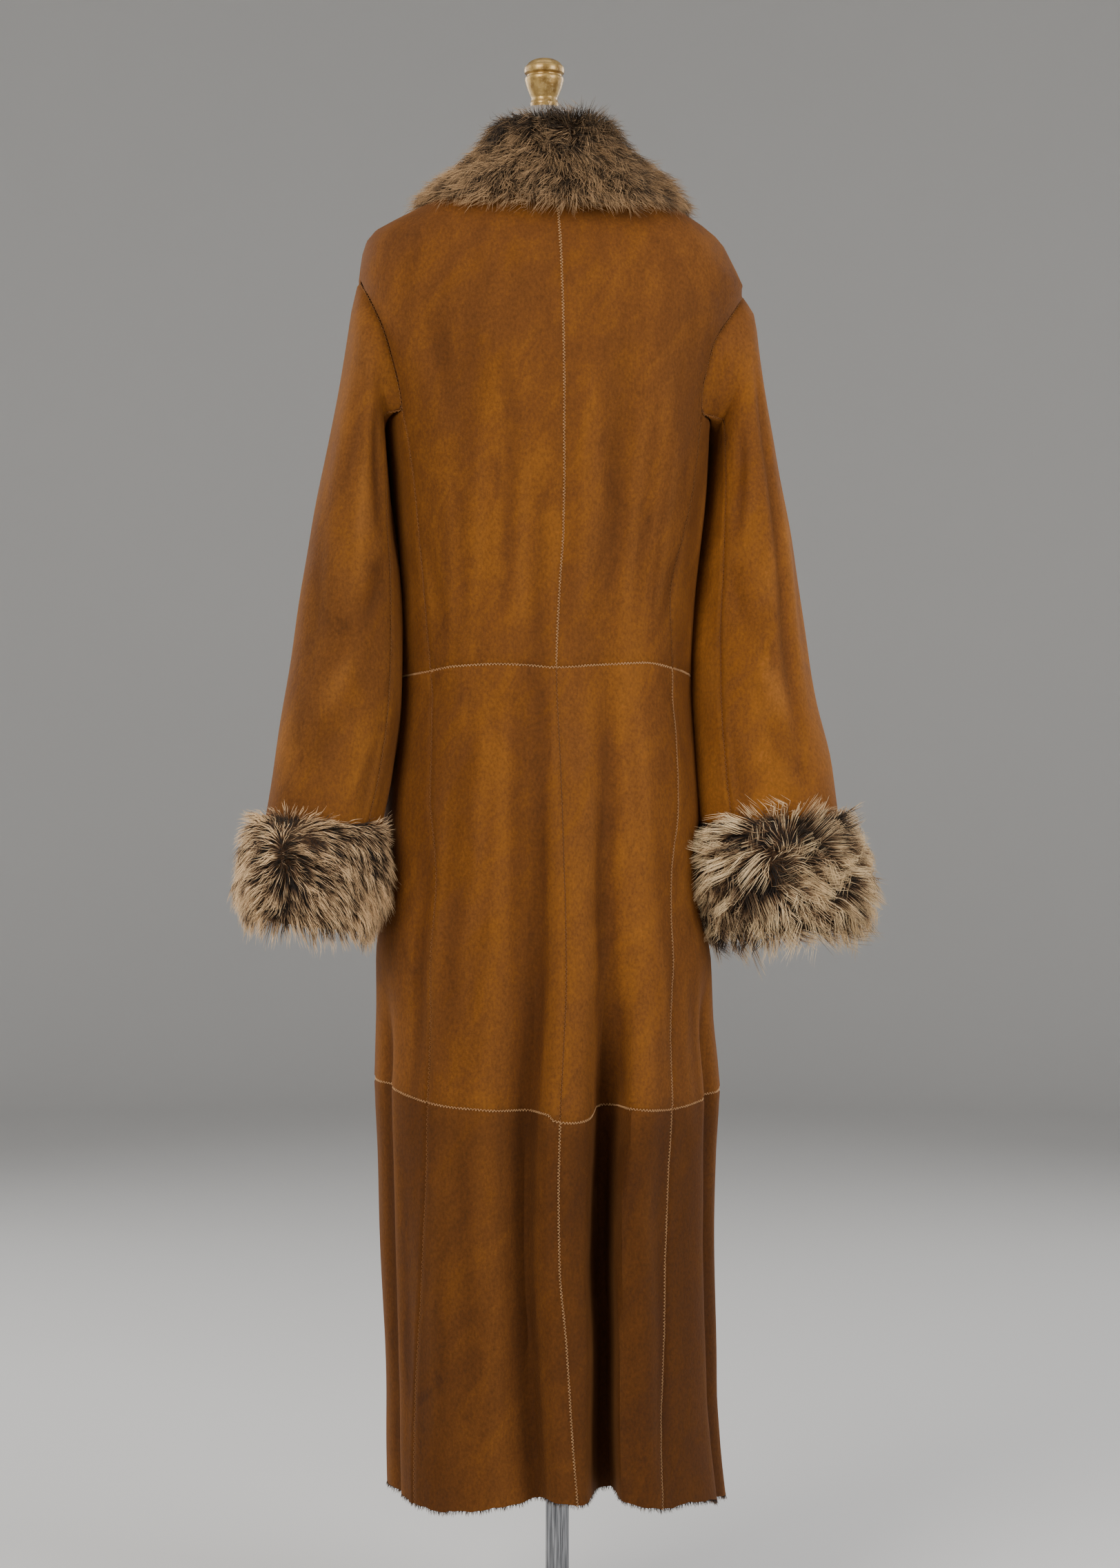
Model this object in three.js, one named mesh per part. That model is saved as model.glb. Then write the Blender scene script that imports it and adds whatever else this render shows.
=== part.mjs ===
// Full-length shearling coat with a fur collar and turned-up fur cuffs, worn by a limbless
// dress form on a pole stand.
// Millimetres, +Z up. The floor is z = 0 and the pole is the Z axis. The front of the coat
// faces -Y and its left side is +X.
// The coat is one surface, coatPoint(angle, height), read from a table of sections. Every
// body panel is a wall cut from that surface between two seams, so neighbours always fit.

import * as THREE from 'three';

// Driving sizes

const WALL = 3;                 // suede with its clipped wool
const SEAM_GAP = 0.3;           // parting between two pieces at a seam
const HEM_Z = 205;
const LOWER_SEAM_Z = 600;       // seam round the coat at the knee
const WAIST_Z = 1058;
const UNDERARM_Z = 1335;
const SHOULDER_TIP_Z = 1475;    // top of the armhole, below a dropped shoulder
const NECK_Z = 1590;

const SQUARENESS = 2.3;         // 2 is an ellipse, more is boxier
const DROP_POWER = 2.5;         // how late a section dips towards its sides
const SHOULDER_ANGLE = 90;      // the shoulder seam, in degrees from the centre back
const CENTRE_FRONT = 180;
const GIRTH_PER_DEGREE = 2.8;   // cloth round the body for each degree

const FORM_X = 14;              // the neck of the form sits a little off the pole's axis
const FORM_BOTTOM_Z = 800;
const FORM_NECK_RADIUS = 36;
const FORM_NECK_TOP_Z = 1645;
const POLE_RADIUS = 12.5;
const BASE_RADIUS = 190;
const HUB_TOP_Z = 70;

// Sections of the body from hem to neck. left and right are how far the cloth reaches to
// +X and -X, middle is where the centre-back seam runs, back and front are the depths, and
// drop is how much lower than the centre back a section runs at its sides.
const BODY = curveTable(
  ['height', 'left', 'right', 'middle', 'back', 'front', 'drop'],
  [
    [205, 182, 178, 8, 165, 150, -5],
    [255, 184, 174, 12, 163, 150, -8],
    [300, 185, 171, 15, 162, 150, -12],
    [380, 188, 174, 20, 160, 149, -18],
    [450, 191, 174, 26, 159, 148, -22],
    [525, 193, 175, 27, 158, 147, -26],
    [600, 196, 178, 25, 157, 146, -30],
    [675, 196, 172, 21, 156, 145, -25],
    [740, 197, 167, 18, 154, 144, -18],
    [775, 191, 147, 18, 153, 143, -14],
    [806, 182, 136, 18, 151, 142, -10],
    [850, 176, 137, 19, 149, 140, -5],
    [910, 177, 141, 20, 145, 136, 0],
    [967, 171, 141.5, 21, 138, 130, 4],
    [1058, 165, 141, 22, 122, 118, 8],
    [1141, 167, 145.5, 19, 124, 120, 8],
    [1200, 171, 151.5, 16, 130, 124, 8],
    [1249, 174.5, 156, 16, 135, 128, 9],
    [1302, 179, 159, 17, 139, 131, 10],
    [1335, 185, 162, 17, 140, 132, 10],
    [1370, 194, 166, 17, 139, 130, 8],
    [1405, 203, 178, 17, 136, 126, 5],
    [1440, 209, 192, 17, 131, 120, 4],
    [1475, 212, 204, 17, 124, 112, 7],
    [1500, 209, 197, 17, 117, 104, 7],
    [1525, 202, 186, 17, 107, 94, 10],
    [1545, 183, 170, 17, 95, 84, 18],
    [1562, 154, 144, 15, 84, 75, 19],
    [1578, 118, 106, 14, 74, 67, 15],
    [1590, 88, 70, 13, 66, 60, 10],
  ],
);

// Where the two back princess seams run, in degrees from the centre back.
const PRINCESS = curveTable(
  ['height', 'left', 'right'],
  [
    [205, 63, 27],
    [301, 60, 31],
    [433, 52, 34],
    [600, 47, 35.5],
    [700, 46, 36],
    [837, 47, 42],
    [945, 51, 44],
    [1058, 56, 47.5],
    [1139, 58.5, 46.5],
    [1206, 61, 51],
    [1262, 63, 56.5],
    [1335, 67, 60],
  ],
);
const FRONT_SEAM_ANGLE = 112;   // side-front seam, the same on both sides

// The armhole's edge from the underarm to its top, as a share of that height.
const ARMHOLE_SHARES = [0, 0.15, 0.3, 0.45, 0.6, 0.73, 0.84, 0.93, 1];
const ARMHOLE = curveTable(
  ['share', 'left', 'right', 'front'],
  [
    [0, 67, 60, 112],
    [0.15, 66, 59, 115],
    [0.3, 66, 59.5, 117],
    [0.5, 67, 59, 116],
    [0.65, 70, 62.5, 112],
    [0.78, 75, 69, 106],
    [0.9, 81, 78, 98],
    [1, 90, 90, 90],
  ],
);

// The large folds. Each starts at startZ, is full at fullZ and has faded again by endZ
// (0 when it runs out at the hem). Angles are from the centre back, + to the left. A
// positive depth is a trough and a negative one a ridge. leftWidth and rightWidth are how
// softly its two sides rise.
const FOLDS = readRows(
  ['name', 'startZ', 'fullZ', 'endZ', 'startAngle', 'hemAngle', 'depth', 'leftWidth', 'rightWidth'],
  [
    ['back left trough', 1300, 420, 0, 4, 12, 26, 26, 14],
    ['back left ridge', 1100, 520, 0, 0, 2, -5, 12, 12],
    ['back right pleat', 1180, 330, 0, -17, -9, 74, 17, 11],
    ['back right ridge', 1150, 450, 0, -28, -21, -9, 14, 16],
    ['back bodice trough', 1420, 1230, 1075, -17, -17, 7, 16, 16],
    ['left blade fold', 1440, 1380, 1290, 40, 52, 6, 16, 16],
    ['left strip fold', 720, 620, 0, 74, 80, 9, 12, 12],
    ['right strip fold', 740, 640, 0, -60, -66, 12, 13, 13],
    ['left side fold', 900, 500, 0, 100, 104, 13, 18, 18],
    ['right side fold', 700, 450, 0, -98, -102, 14, 18, 18],
    ['front left trough', 1050, 420, 0, 140, 136, 24, 18, 22],
    ['front right trough', 1050, 420, 0, -146, -142, 30, 20, 16],
    ['front left ridge', 1000, 500, 0, 158, 160, -7, 16, 16],
  ],
);

// Sleeve rings from just below the armhole to the end inside the cuff. Each is an oval
// through its outer point and its inner point, as deep as halfDepth each way from y. lean
// is how far its front half hangs in towards the body.
const SLEEVE_COLUMNS = ['outX', 'outZ', 'inX', 'inZ', 'y', 'halfDepth', 'lean'];
const SLEEVE_ROWS = {
  left: [
    [219, 1444, 187, 1304, 4, 62, 6],
    [227, 1402, 185, 1282, 6, 65, 10],
    [235, 1352, 183, 1260, 9, 67, 13],
    [248, 1290, 180, 1230, 13, 67, 15],
    [261, 1235, 177, 1198, 17, 66, 15],
    [274, 1172, 172, 1156, 22, 66, 13],
    [286, 1100, 170, 1098, 28, 66, 9],
    [297, 1025, 172, 1025, 36, 67, 5],
    [309, 957, 182, 953, 44, 68, 2],
    [318, 895, 198, 885, 50, 68, 0],
    [323, 845, 206, 832, 52, 68, 0],
    [325, 802, 211, 788, 52, 68, 0],
  ],
  right: [
    [209, 1448, 164, 1304, 4, 62, 6],
    [218, 1408, 163, 1282, 6, 65, 8],
    [227, 1352, 161, 1258, 9, 67, 8],
    [237, 1295, 158, 1228, 13, 67, 6],
    [247, 1240, 154, 1198, 17, 66, 4],
    [257, 1175, 149, 1156, 22, 66, 2],
    [267, 1100, 142, 1098, 28, 67, 0],
    [277, 1025, 139, 1025, 36, 68, 0],
    [291, 960, 140, 957, 44, 69, 0],
    [299, 895, 146, 890, 50, 70, 0],
    [304, 845, 152, 838, 52, 70, 0],
    [306, 790, 158, 782, 52, 70, 0],
  ],
};

// Outer rings of the turned-up fur cuffs, as far out as the fur reaches.
const CUFF_ROWS = {
  left: [
    [335, 910, 187, 892, 50, 75, 0],
    [351, 884, 179, 868, 51, 87, 0],
    [355, 850, 178, 838, 52, 91, 0],
    [352, 818, 184, 806, 52, 88, 0],
    [338, 797, 199, 782, 52, 77, 0],
  ],
  right: [
    [317, 905, 148, 900, 50, 78, 0],
    [336, 878, 136, 874, 51, 91, 0],
    [344, 842, 136, 836, 52, 96, 0],
    [344, 806, 141, 799, 52, 93, 0],
    [327, 772, 160, 766, 52, 81, 0],
  ],
};
const CUFF_CLEARANCE = 1;       // from the sleeve to the inside of the cuff

// The fur collar from its lower edge up to its crest, on the outside.
const COLLAR_OUTSIDE = readRows(
  ['name', 'left', 'right', 'back', 'front', 'backZ', 'sideZ', 'frontZ'],
  [
    ['edge', 144, 142, 132, 116, 1534, 1556, 1536],
    ['low', 131, 125, 128, 110, 1560, 1578, 1556],
    ['middle', 108, 100, 110, 94, 1594, 1604, 1580],
    ['upper', 84, 74, 86, 74, 1625, 1628, 1602],
    ['crest', 64, 52, 60, 56, 1643, 1645, 1612],
  ],
);
const COLLAR_INSIDE = readRows(
  ['name', 'left', 'right', 'back', 'front', 'backZ', 'sideZ', 'frontZ'],
  [
    ['stand foot', 66, 48, 50, 48, 1600, 1598, 1596],
    ['stand top', 54, 38, 44, 44, 1634, 1634, 1604],
  ],
);
// How far down the shoulders its lower edge lies, by the angle from the centre back.
const COLLAR_EDGE = curveTable(
  ['angle', 'height'],
  [
    [0, 1529], [30, 1537], [50, 1553], [70, 1565], [90, 1569],
    [110, 1566], [130, 1557], [150, 1548], [180, 1542],
  ],
);
const COLLAR_END_ANGLE = 172.5; // the two ends of the collar part at the centre front
const COLLAR_LIFT = 0.9;        // from the shoulders to the underside of the collar
const COLLAR_STEPS = 46;

// How far inside the cloth the form's body lies at each height, and its neck above that.
const FORM_CLEARANCE = curveTable(
  ['height', 'clearance'],
  [
    [800, 30], [850, 26], [950, 17], [1058, 11], [1200, 11], [1335, 18], [1405, 29],
    [1440, 31], [1475, 26], [1500, 18], [1525, 7], [1545, 0.7], [1562, 0.7], [1578, 0.7],
  ],
);
const FORM_HEIGHTS = [
  800, 870, 950, 1058, 1150, 1250, 1335, 1405, 1455, 1490, 1515, 1532, 1545, 1562, 1578,
];
const FORM_NECK = readRows(
  ['z', 'radius'],
  [[1586, 56], [1597, 44], [1612, 38], [FORM_NECK_TOP_Z, FORM_NECK_RADIUS]],
);
const FORM_COLUMNS = 24;

// Grid of each panel: cells across by cells down each level.
const CELLS = { back: 12, side: 6, front: 7 };
const LEVEL_ROWS = {
  hem: evenRows(HEM_Z, LOWER_SEAM_Z, 7),
  skirt: evenRows(LOWER_SEAM_Z, WAIST_Z, 8),
  upper: evenRows(WAIST_Z, UNDERARM_Z, 5),
};
const SHOULDER_ROWS = [1488, 1502, 1516, 1530, 1545, 1562, 1578, NECK_Z];

// Finishes

const SUEDE = finish(0x8a521f, 0.95, 0);
const FUR = finish(0x6e5a46, 1, 0);
const LINEN = finish(0x9a968c, 0.85, 0);
const GREY_PAINT = finish(0x96918c, 0.45, 0.2);
const GOLD_PAINT = finish(0xa5874b, 0.35, 0.8);
const CHROME = finish(0xc8c8ca, 0.12, 1);
const BASE_PAINT = finish(0x2c2c2e, 0.5, 0.3);

function finish(color, roughness, metalness) {
  return new THREE.MeshStandardMaterial({ color, roughness, metalness });
}

// Tables

function readRows(names, rows) {
  return rows.map((row) => Object.fromEntries(names.map((name, i) => [name, row[i]])));
}

// A table whose first column is the key. Every other column can be read at any key, along
// a smooth curve through its rows that never overshoots them.
function curveTable(names, rows) {
  const keys = rows.map((row) => row[0]);
  const readers = {};
  names.slice(1).forEach((name, i) => {
    const values = rows.map((row) => row[i + 1]);
    readers[name] = (key) => smoothRead(keys, values, key);
  });
  return readers;
}

function smoothRead(keys, values, key) {
  const last = keys.length - 1;
  if (key <= keys[0]) return values[0];
  if (key >= keys[last]) return values[last];
  let i = 0;
  while (key > keys[i + 1]) i += 1;
  const span = keys[i + 1] - keys[i];
  const share = (key - keys[i]) / span;
  const rise = (k) => (values[k + 1] - values[k]) / (keys[k + 1] - keys[k]);
  const slope = (k) => {
    if (k === 0) return rise(0);
    if (k === last) return rise(last - 1);
    const before = rise(k - 1);
    const after = rise(k);
    return before * after <= 0 ? 0 : (2 * before * after) / (before + after);
  };
  const t2 = share * share;
  const t3 = t2 * share;
  return (2 * t3 - 3 * t2 + 1) * values[i] + (t3 - 2 * t2 + share) * span * slope(i)
    + (3 * t2 - 2 * t3) * values[i + 1] + (t3 - t2) * span * slope(i + 1);
}

function evenRows(from, to, cells) {
  return Array.from({ length: cells + 1 }, (_, i) => from + ((to - from) * i) / cells);
}

function mix(from, to, share) {
  return from + (to - from) * share;
}

// The coat's outer surface

function foldDepth(angle, height) {
  return FOLDS.reduce((sum, fold) => {
    const comesIn = 1 - THREE.MathUtils.smoothstep(height, fold.fullZ, fold.startZ);
    const goesOut = fold.endZ ? THREE.MathUtils.smoothstep(height, fold.endZ, fold.fullZ) : 1;
    const share = THREE.MathUtils.clamp((fold.startZ - height) / (fold.startZ - HEM_Z), 0, 1);
    const turn = angle - mix(fold.startAngle, fold.hemAngle, share);
    const aside = (THREE.MathUtils.euclideanModulo(turn + 180, 360) - 180) * GIRTH_PER_DEGREE;
    const shape = Math.exp(-((aside / (aside > 0 ? fold.leftWidth : fold.rightWidth)) ** 2));
    return sum + fold.depth * comesIn * goesOut * shape;
  }, 0);
}

function coatPoint(angle, height, folded = true) {
  const turn = THREE.MathUtils.degToRad(angle);
  const aside = Math.sin(turn);
  const along = Math.cos(turn);
  const middle = BODY.middle(height);
  const reach = aside >= 0 ? BODY.left(height) - middle : BODY.right(height) + middle;
  const depth = along >= 0 ? BODY.back(height) : BODY.front(height);
  const rounded = (value) => Math.sign(value) * Math.abs(value) ** (2 / SQUARENESS);
  const offset = new THREE.Vector3(reach * rounded(aside), depth * rounded(along), 0);
  if (folded) offset.setLength(offset.length() - foldDepth(angle, height));
  const z = height - BODY.drop(height) * Math.abs(aside) ** DROP_POWER;
  return new THREE.Vector3(middle + offset.x, offset.y, z);
}

function coatNormal(angle, height, folded = true) {
  const turn = 0.4;
  const step = 0.6;
  const low = Math.max(height - step, HEM_Z);
  const high = Math.min(height + step, NECK_Z);
  const around = coatPoint(angle + turn, height, folded).sub(coatPoint(angle - turn, height, folded));
  const up = coatPoint(angle, high, folded).sub(coatPoint(angle, low, folded));
  return up.cross(around).normalize();
}

// One point of the cloth: its outside, and its inside one wall thickness further in.
function clothAt(angle, height) {
  const outer = coatPoint(angle, height);
  const inner = outer.clone().addScaledVector(coatNormal(angle, height), -WALL);
  return { outer, inner };
}

// Closed walls

// A closed wall from a grid of { outer, inner } points. around joins its last column to its
// first, as on a tube.
function wallGeometry(grid, around = false) {
  const rows = grid.length;
  const columns = grid[0].length;
  const corners = [];
  grid.forEach((row) => row.forEach((point) => corners.push(...point.outer.toArray())));
  grid.forEach((row) => row.forEach((point) => corners.push(...point.inner.toArray())));
  const outer = (i, j) => i * columns + (j % columns);
  const inner = (i, j) => rows * columns + outer(i, j);
  const faces = [];
  const quad = (a, b, c, d) => faces.push(a, b, c, a, c, d);
  const cellsAcross = around ? columns : columns - 1;
  for (let i = 0; i < rows - 1; i += 1) {
    for (let j = 0; j < cellsAcross; j += 1) {
      quad(outer(i, j), outer(i, j + 1), outer(i + 1, j + 1), outer(i + 1, j));
      quad(inner(i, j), inner(i + 1, j), inner(i + 1, j + 1), inner(i, j + 1));
    }
  }
  for (let j = 0; j < cellsAcross; j += 1) {
    quad(outer(0, j), inner(0, j), inner(0, j + 1), outer(0, j + 1));
    quad(outer(rows - 1, j), outer(rows - 1, j + 1), inner(rows - 1, j + 1), inner(rows - 1, j));
  }
  if (!around) {
    const end = columns - 1;
    for (let i = 0; i < rows - 1; i += 1) {
      quad(outer(i, 0), outer(i + 1, 0), inner(i + 1, 0), inner(i, 0));
      quad(outer(i, end), inner(i, end), inner(i + 1, end), outer(i + 1, end));
    }
  }
  return facingOut(corners, faces);
}

// A geometry whose faces point out, whichever way round they were listed.
function facingOut(corners, faces) {
  const point = (i) => new THREE.Vector3().fromArray(corners, i * 3);
  let volume = 0;
  for (let i = 0; i < faces.length; i += 3) {
    volume += point(faces[i]).dot(point(faces[i + 1]).cross(point(faces[i + 2])));
  }
  const geometry = new THREE.BufferGeometry();
  geometry.setAttribute('position', new THREE.Float32BufferAttribute(corners, 3));
  geometry.setIndex(volume > 0 ? faces : faces.slice().reverse());
  geometry.computeVertexNormals();
  return geometry;
}

function addPiece(group, name, geometry, material, x = 0) {
  const mesh = new THREE.Mesh(geometry, material);
  mesh.name = name;
  mesh.position.x = x;
  group.add(mesh);
}

// Body panels

// The angle of a panel's edge, moved by half the seam gap towards the panel's own middle.
function seamAngle(angle, towards) {
  return angle + (Math.sign(towards - angle) * SEAM_GAP) / 2 / GIRTH_PER_DEGREE;
}

// The rows of a panel: the first and last drawn in by half the seam gap.
function seamRows(rows) {
  const last = rows.length - 1;
  return rows.map((height, i) => {
    if (i === 0 && height > HEM_Z) return height + SEAM_GAP / 2;
    if (i === last && height < NECK_Z) return height - SEAM_GAP / 2;
    return height;
  });
}

function panelGeometry(rows, cells, fromAngle, toAngle) {
  const grid = seamRows(rows).map((height, i) => {
    const from = fromAngle(rows[i]);
    const to = toAngle(rows[i]);
    const first = seamAngle(from, to);
    const last = seamAngle(to, from);
    return evenRows(first, last, cells).map((angle) => clothAt(angle, height));
  });
  return wallGeometry(grid);
}

function armholeHeight(share) {
  return mix(UNDERARM_Z, SHOULDER_TIP_Z, share);
}

// Where the back and front panels end towards the side at a height, on one side.
function backEdge(side, height) {
  if (height <= UNDERARM_Z) return PRINCESS[side](height);
  if (height >= SHOULDER_TIP_Z) return SHOULDER_ANGLE;
  return ARMHOLE[side]((height - UNDERARM_Z) / (SHOULDER_TIP_Z - UNDERARM_Z));
}

function frontEdge(height) {
  if (height <= UNDERARM_Z) return FRONT_SEAM_ANGLE;
  if (height >= SHOULDER_TIP_Z) return SHOULDER_ANGLE;
  return ARMHOLE.front((height - UNDERARM_Z) / (SHOULDER_TIP_Z - UNDERARM_Z));
}

function addBody(group, side) {
  const sign = side === 'left' ? 1 : -1;
  const armholeRows = ARMHOLE_SHARES.slice(1).map(armholeHeight);
  const upToNeck = [...LEVEL_ROWS.upper, ...armholeRows, ...SHOULDER_ROWS];
  const centreBack = () => 0;
  const backSeam = (height) => sign * backEdge(side, height);
  const frontSeam = (height) => sign * frontEdge(height);
  const centreFront = () => sign * CENTRE_FRONT;
  Object.entries(LEVEL_ROWS).forEach(([level, rows]) => {
    const tallRows = level === 'upper' ? upToNeck : rows;
    const back = panelGeometry(tallRows, CELLS.back, centreBack, backSeam);
    const middle = panelGeometry(rows, CELLS.side, backSeam, frontSeam);
    const front = panelGeometry(tallRows, CELLS.front, frontSeam, centreFront);
    addPiece(group, `back_${level}_${side}`, back, SUEDE);
    addPiece(group, `side_${level}_${side}`, middle, SUEDE);
    addPiece(group, `front_${level}_${side}`, front, SUEDE);
  });
}

// Sleeves

// The armhole's edge as a loop of cloth points: up the back, down the front and under the
// arm, each moved off the body by the seam gap.
function armholeLoop(side) {
  const sign = side === 'left' ? 1 : -1;
  const at = (angle, share) => clothAt(sign * angle, armholeHeight(share));
  const upBack = ARMHOLE_SHARES.map((share) => at(ARMHOLE[side](share), share));
  const downShares = ARMHOLE_SHARES.slice(0, -1).reverse();
  const downFront = downShares.map((share) => at(ARMHOLE.front(share), share));
  const underAngles = evenRows(FRONT_SEAM_ANGLE, ARMHOLE[side](0), CELLS.side).slice(1, -1);
  const under = underAngles.map((angle) => at(angle, 0));
  const loop = [...upBack, ...downFront, ...under];
  const total = loop.reduce((sum, point) => sum.add(point.outer), new THREE.Vector3());
  const centre = total.divideScalar(loop.length);
  return loop.map((point, i) => {
    const before = loop[(i + loop.length - 1) % loop.length];
    const after = loop[(i + 1) % loop.length];
    const along = after.outer.clone().sub(before.outer);
    const through = point.outer.clone().sub(point.inner);
    const away = along.cross(through).normalize();
    if (away.dot(centre.clone().sub(point.outer)) < 0) away.negate();
    return {
      outer: point.outer.clone().addScaledVector(away, SEAM_GAP),
      inner: point.inner.clone().addScaledVector(away, SEAM_GAP),
    };
  });
}

// One oval ring, by its row of the sleeve or cuff table, at the given turns. grow makes it
// larger or smaller all round.
function ovalRing(row, sign, turns, grow = 0) {
  const out = new THREE.Vector3(sign * row.outX, row.y, row.outZ);
  const within = new THREE.Vector3(sign * row.inX, row.y, row.inZ);
  const centre = out.clone().add(within).multiplyScalar(0.5);
  const across = out.clone().sub(within).normalize();
  const halfWidth = out.distanceTo(within) / 2 + grow;
  const halfDepth = row.halfDepth + grow;
  return turns.map((turn) => {
    const lean = sign * row.lean * Math.min(0, Math.sin(turn));
    const along = new THREE.Vector3(lean, halfDepth * Math.sin(turn), 0);
    return centre.clone().addScaledVector(across, halfWidth * Math.cos(turn)).add(along);
  });
}

// The turn of each point of the armhole loop about its centre, 0 at the top and a quarter
// turn at the back, so that the sleeve's columns run straight down from it.
function loopTurns(loop) {
  const points = loop.map((point) => point.outer);
  const box = new THREE.Box3().setFromPoints(points);
  const middle = box.getCenter(new THREE.Vector3());
  const size = box.getSize(new THREE.Vector3());
  return points.map((point) => {
    const offset = point.clone().sub(middle);
    return Math.atan2(offset.y / size.y, offset.z / size.z);
  });
}

// Moves the first and last column of a strip in by half the seam gap.
function partSeams(strip) {
  const pull = (point, towards) => {
    ['outer', 'inner'].forEach((face) => {
      const way = towards[face].clone().sub(point[face]).normalize();
      point[face].addScaledVector(way, SEAM_GAP / 2);
    });
  };
  strip.forEach((row) => {
    pull(row[0], row[1]);
    pull(row[row.length - 1], row[row.length - 2]);
  });
}

function addSleeve(group, side) {
  const sign = side === 'left' ? 1 : -1;
  const loop = armholeLoop(side);
  const turns = loopTurns(loop);
  const rings = readRows(SLEEVE_COLUMNS, SLEEVE_ROWS[side]).map((row) => {
    const outer = ovalRing(row, sign, turns);
    const inner = ovalRing(row, sign, turns, -WALL);
    return outer.map((point, i) => ({ outer: point, inner: inner[i] }));
  });
  const grid = [loop, ...rings];
  const topColumns = 2 * ARMHOLE_SHARES.length - 1;
  const copy = (point) => ({ outer: point.outer.clone(), inner: point.inner.clone() });
  const topStrip = grid.map((row) => row.slice(0, topColumns).map(copy));
  const underStrip = grid.map((row) => [...row.slice(topColumns - 1), row[0]].map(copy));
  partSeams(topStrip);
  partSeams(underStrip);
  addPiece(group, `sleeve_top_${side}`, wallGeometry(topStrip), SUEDE);
  addPiece(group, `sleeve_under_${side}`, wallGeometry(underStrip), SUEDE);
}

const CUFF_COLUMNS = 24;

function addCuff(group, side) {
  const sign = side === 'left' ? 1 : -1;
  const turns = evenRows(0, 2 * Math.PI, CUFF_COLUMNS).slice(0, -1);
  const sleeve = readRows(SLEEVE_COLUMNS, SLEEVE_ROWS[side]);
  const keys = sleeve.map((row) => -(row.outZ + row.inZ) / 2);
  const sleeveAt = (z) => Object.fromEntries(SLEEVE_COLUMNS.map((name) => (
    [name, linearRead(keys, sleeve.map((row) => row[name]), -z)])));
  const grid = readRows(SLEEVE_COLUMNS, CUFF_ROWS[side]).map((row) => {
    const under = sleeveAt((row.outZ + row.inZ) / 2);
    const outer = ovalRing(row, sign, turns);
    const inner = ovalRing(under, sign, turns, CUFF_CLEARANCE);
    return outer.map((point, i) => ({ outer: point, inner: inner[i] }));
  });
  addPiece(group, `cuff_${side}`, wallGeometry(grid, true), FUR);
}

// A column read along straight lines, carried on past its last row.
function linearRead(keys, values, key) {
  let i = 0;
  while (i < keys.length - 2 && key > keys[i + 1]) i += 1;
  return mix(values[i], values[i + 1], (key - keys[i]) / (keys[i + 1] - keys[i]));
}

// Collar

function collarPoint(row, angle) {
  const turn = THREE.MathUtils.degToRad(angle);
  const aside = Math.sin(turn);
  const along = Math.cos(turn);
  const reach = aside >= 0 ? row.left : row.right;
  const depth = along >= 0 ? row.back : row.front;
  const endZ = along >= 0 ? row.backZ : row.frontZ;
  return new THREE.Vector3(reach * aside, depth * along, mix(row.sideZ, endZ, along * along));
}

function addCollar(group) {
  const grid = evenRows(-COLLAR_END_ANGLE, COLLAR_END_ANGLE, COLLAR_STEPS).map((angle) => {
    const edge = COLLAR_EDGE.height(Math.abs(angle));
    const onShoulder = (height) => coatPoint(angle, height)
      .addScaledVector(coatNormal(angle, height), COLLAR_LIFT);
    const under = [onShoulder(edge), onShoulder(mix(edge, NECK_Z, 0.5)), onShoulder(NECK_Z)];
    const inside = [...under, ...COLLAR_INSIDE.map((row) => collarPoint(row, angle))];
    return COLLAR_OUTSIDE.map((row, i) => ({ outer: collarPoint(row, angle), inner: inside[i] }));
  });
  addPiece(group, 'collar', wallGeometry(grid), FUR);
}

// Dress form and stand

// A closed solid from rings of equal length, closed by a flat fan at each end.
function ringSolid(rings) {
  const columns = rings[0].length;
  const corners = rings.flat().flatMap((point) => point.toArray());
  const faces = [];
  for (let i = 0; i < rings.length - 1; i += 1) {
    for (let j = 0; j < columns; j += 1) {
      const next = (j + 1) % columns;
      const [a, b] = [i * columns + j, i * columns + next];
      faces.push(a, b, b + columns, a, b + columns, a + columns);
    }
  }
  const top = (rings.length - 1) * columns;
  for (let j = 1; j < columns - 1; j += 1) {
    faces.push(0, j + 1, j);
    faces.push(top, top + j, top + j + 1);
  }
  return facingOut(corners, faces);
}

function addForm(group) {
  const angles = evenRows(0, 360, FORM_COLUMNS).slice(0, -1);
  const bodyRings = FORM_HEIGHTS.map((height) => angles.map((angle) => {
    const inset = WALL + FORM_CLEARANCE.clearance(height);
    const point = coatPoint(angle, height, false).addScaledVector(coatNormal(angle, height, false), -inset);
    if (height < WAIST_Z) point.z = height;
    return point;
  }));
  const neckRings = FORM_NECK.map((row) => angles.map((angle) => {
    const turn = THREE.MathUtils.degToRad(angle);
    return new THREE.Vector3(FORM_X + row.radius * Math.sin(turn), row.radius * Math.cos(turn), row.z);
  }));
  addPiece(group, 'form_torso', ringSolid([...bodyRings, ...neckRings]), LINEN);
}

// A turned solid about a vertical axis, from a profile of [radius, z] that starts and ends
// on the axis.
function turned(profile, segments) {
  const points = profile.map(([radius, z]) => new THREE.Vector2(radius, z));
  return new THREE.LatheGeometry(points, segments).rotateX(Math.PI / 2);
}

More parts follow.
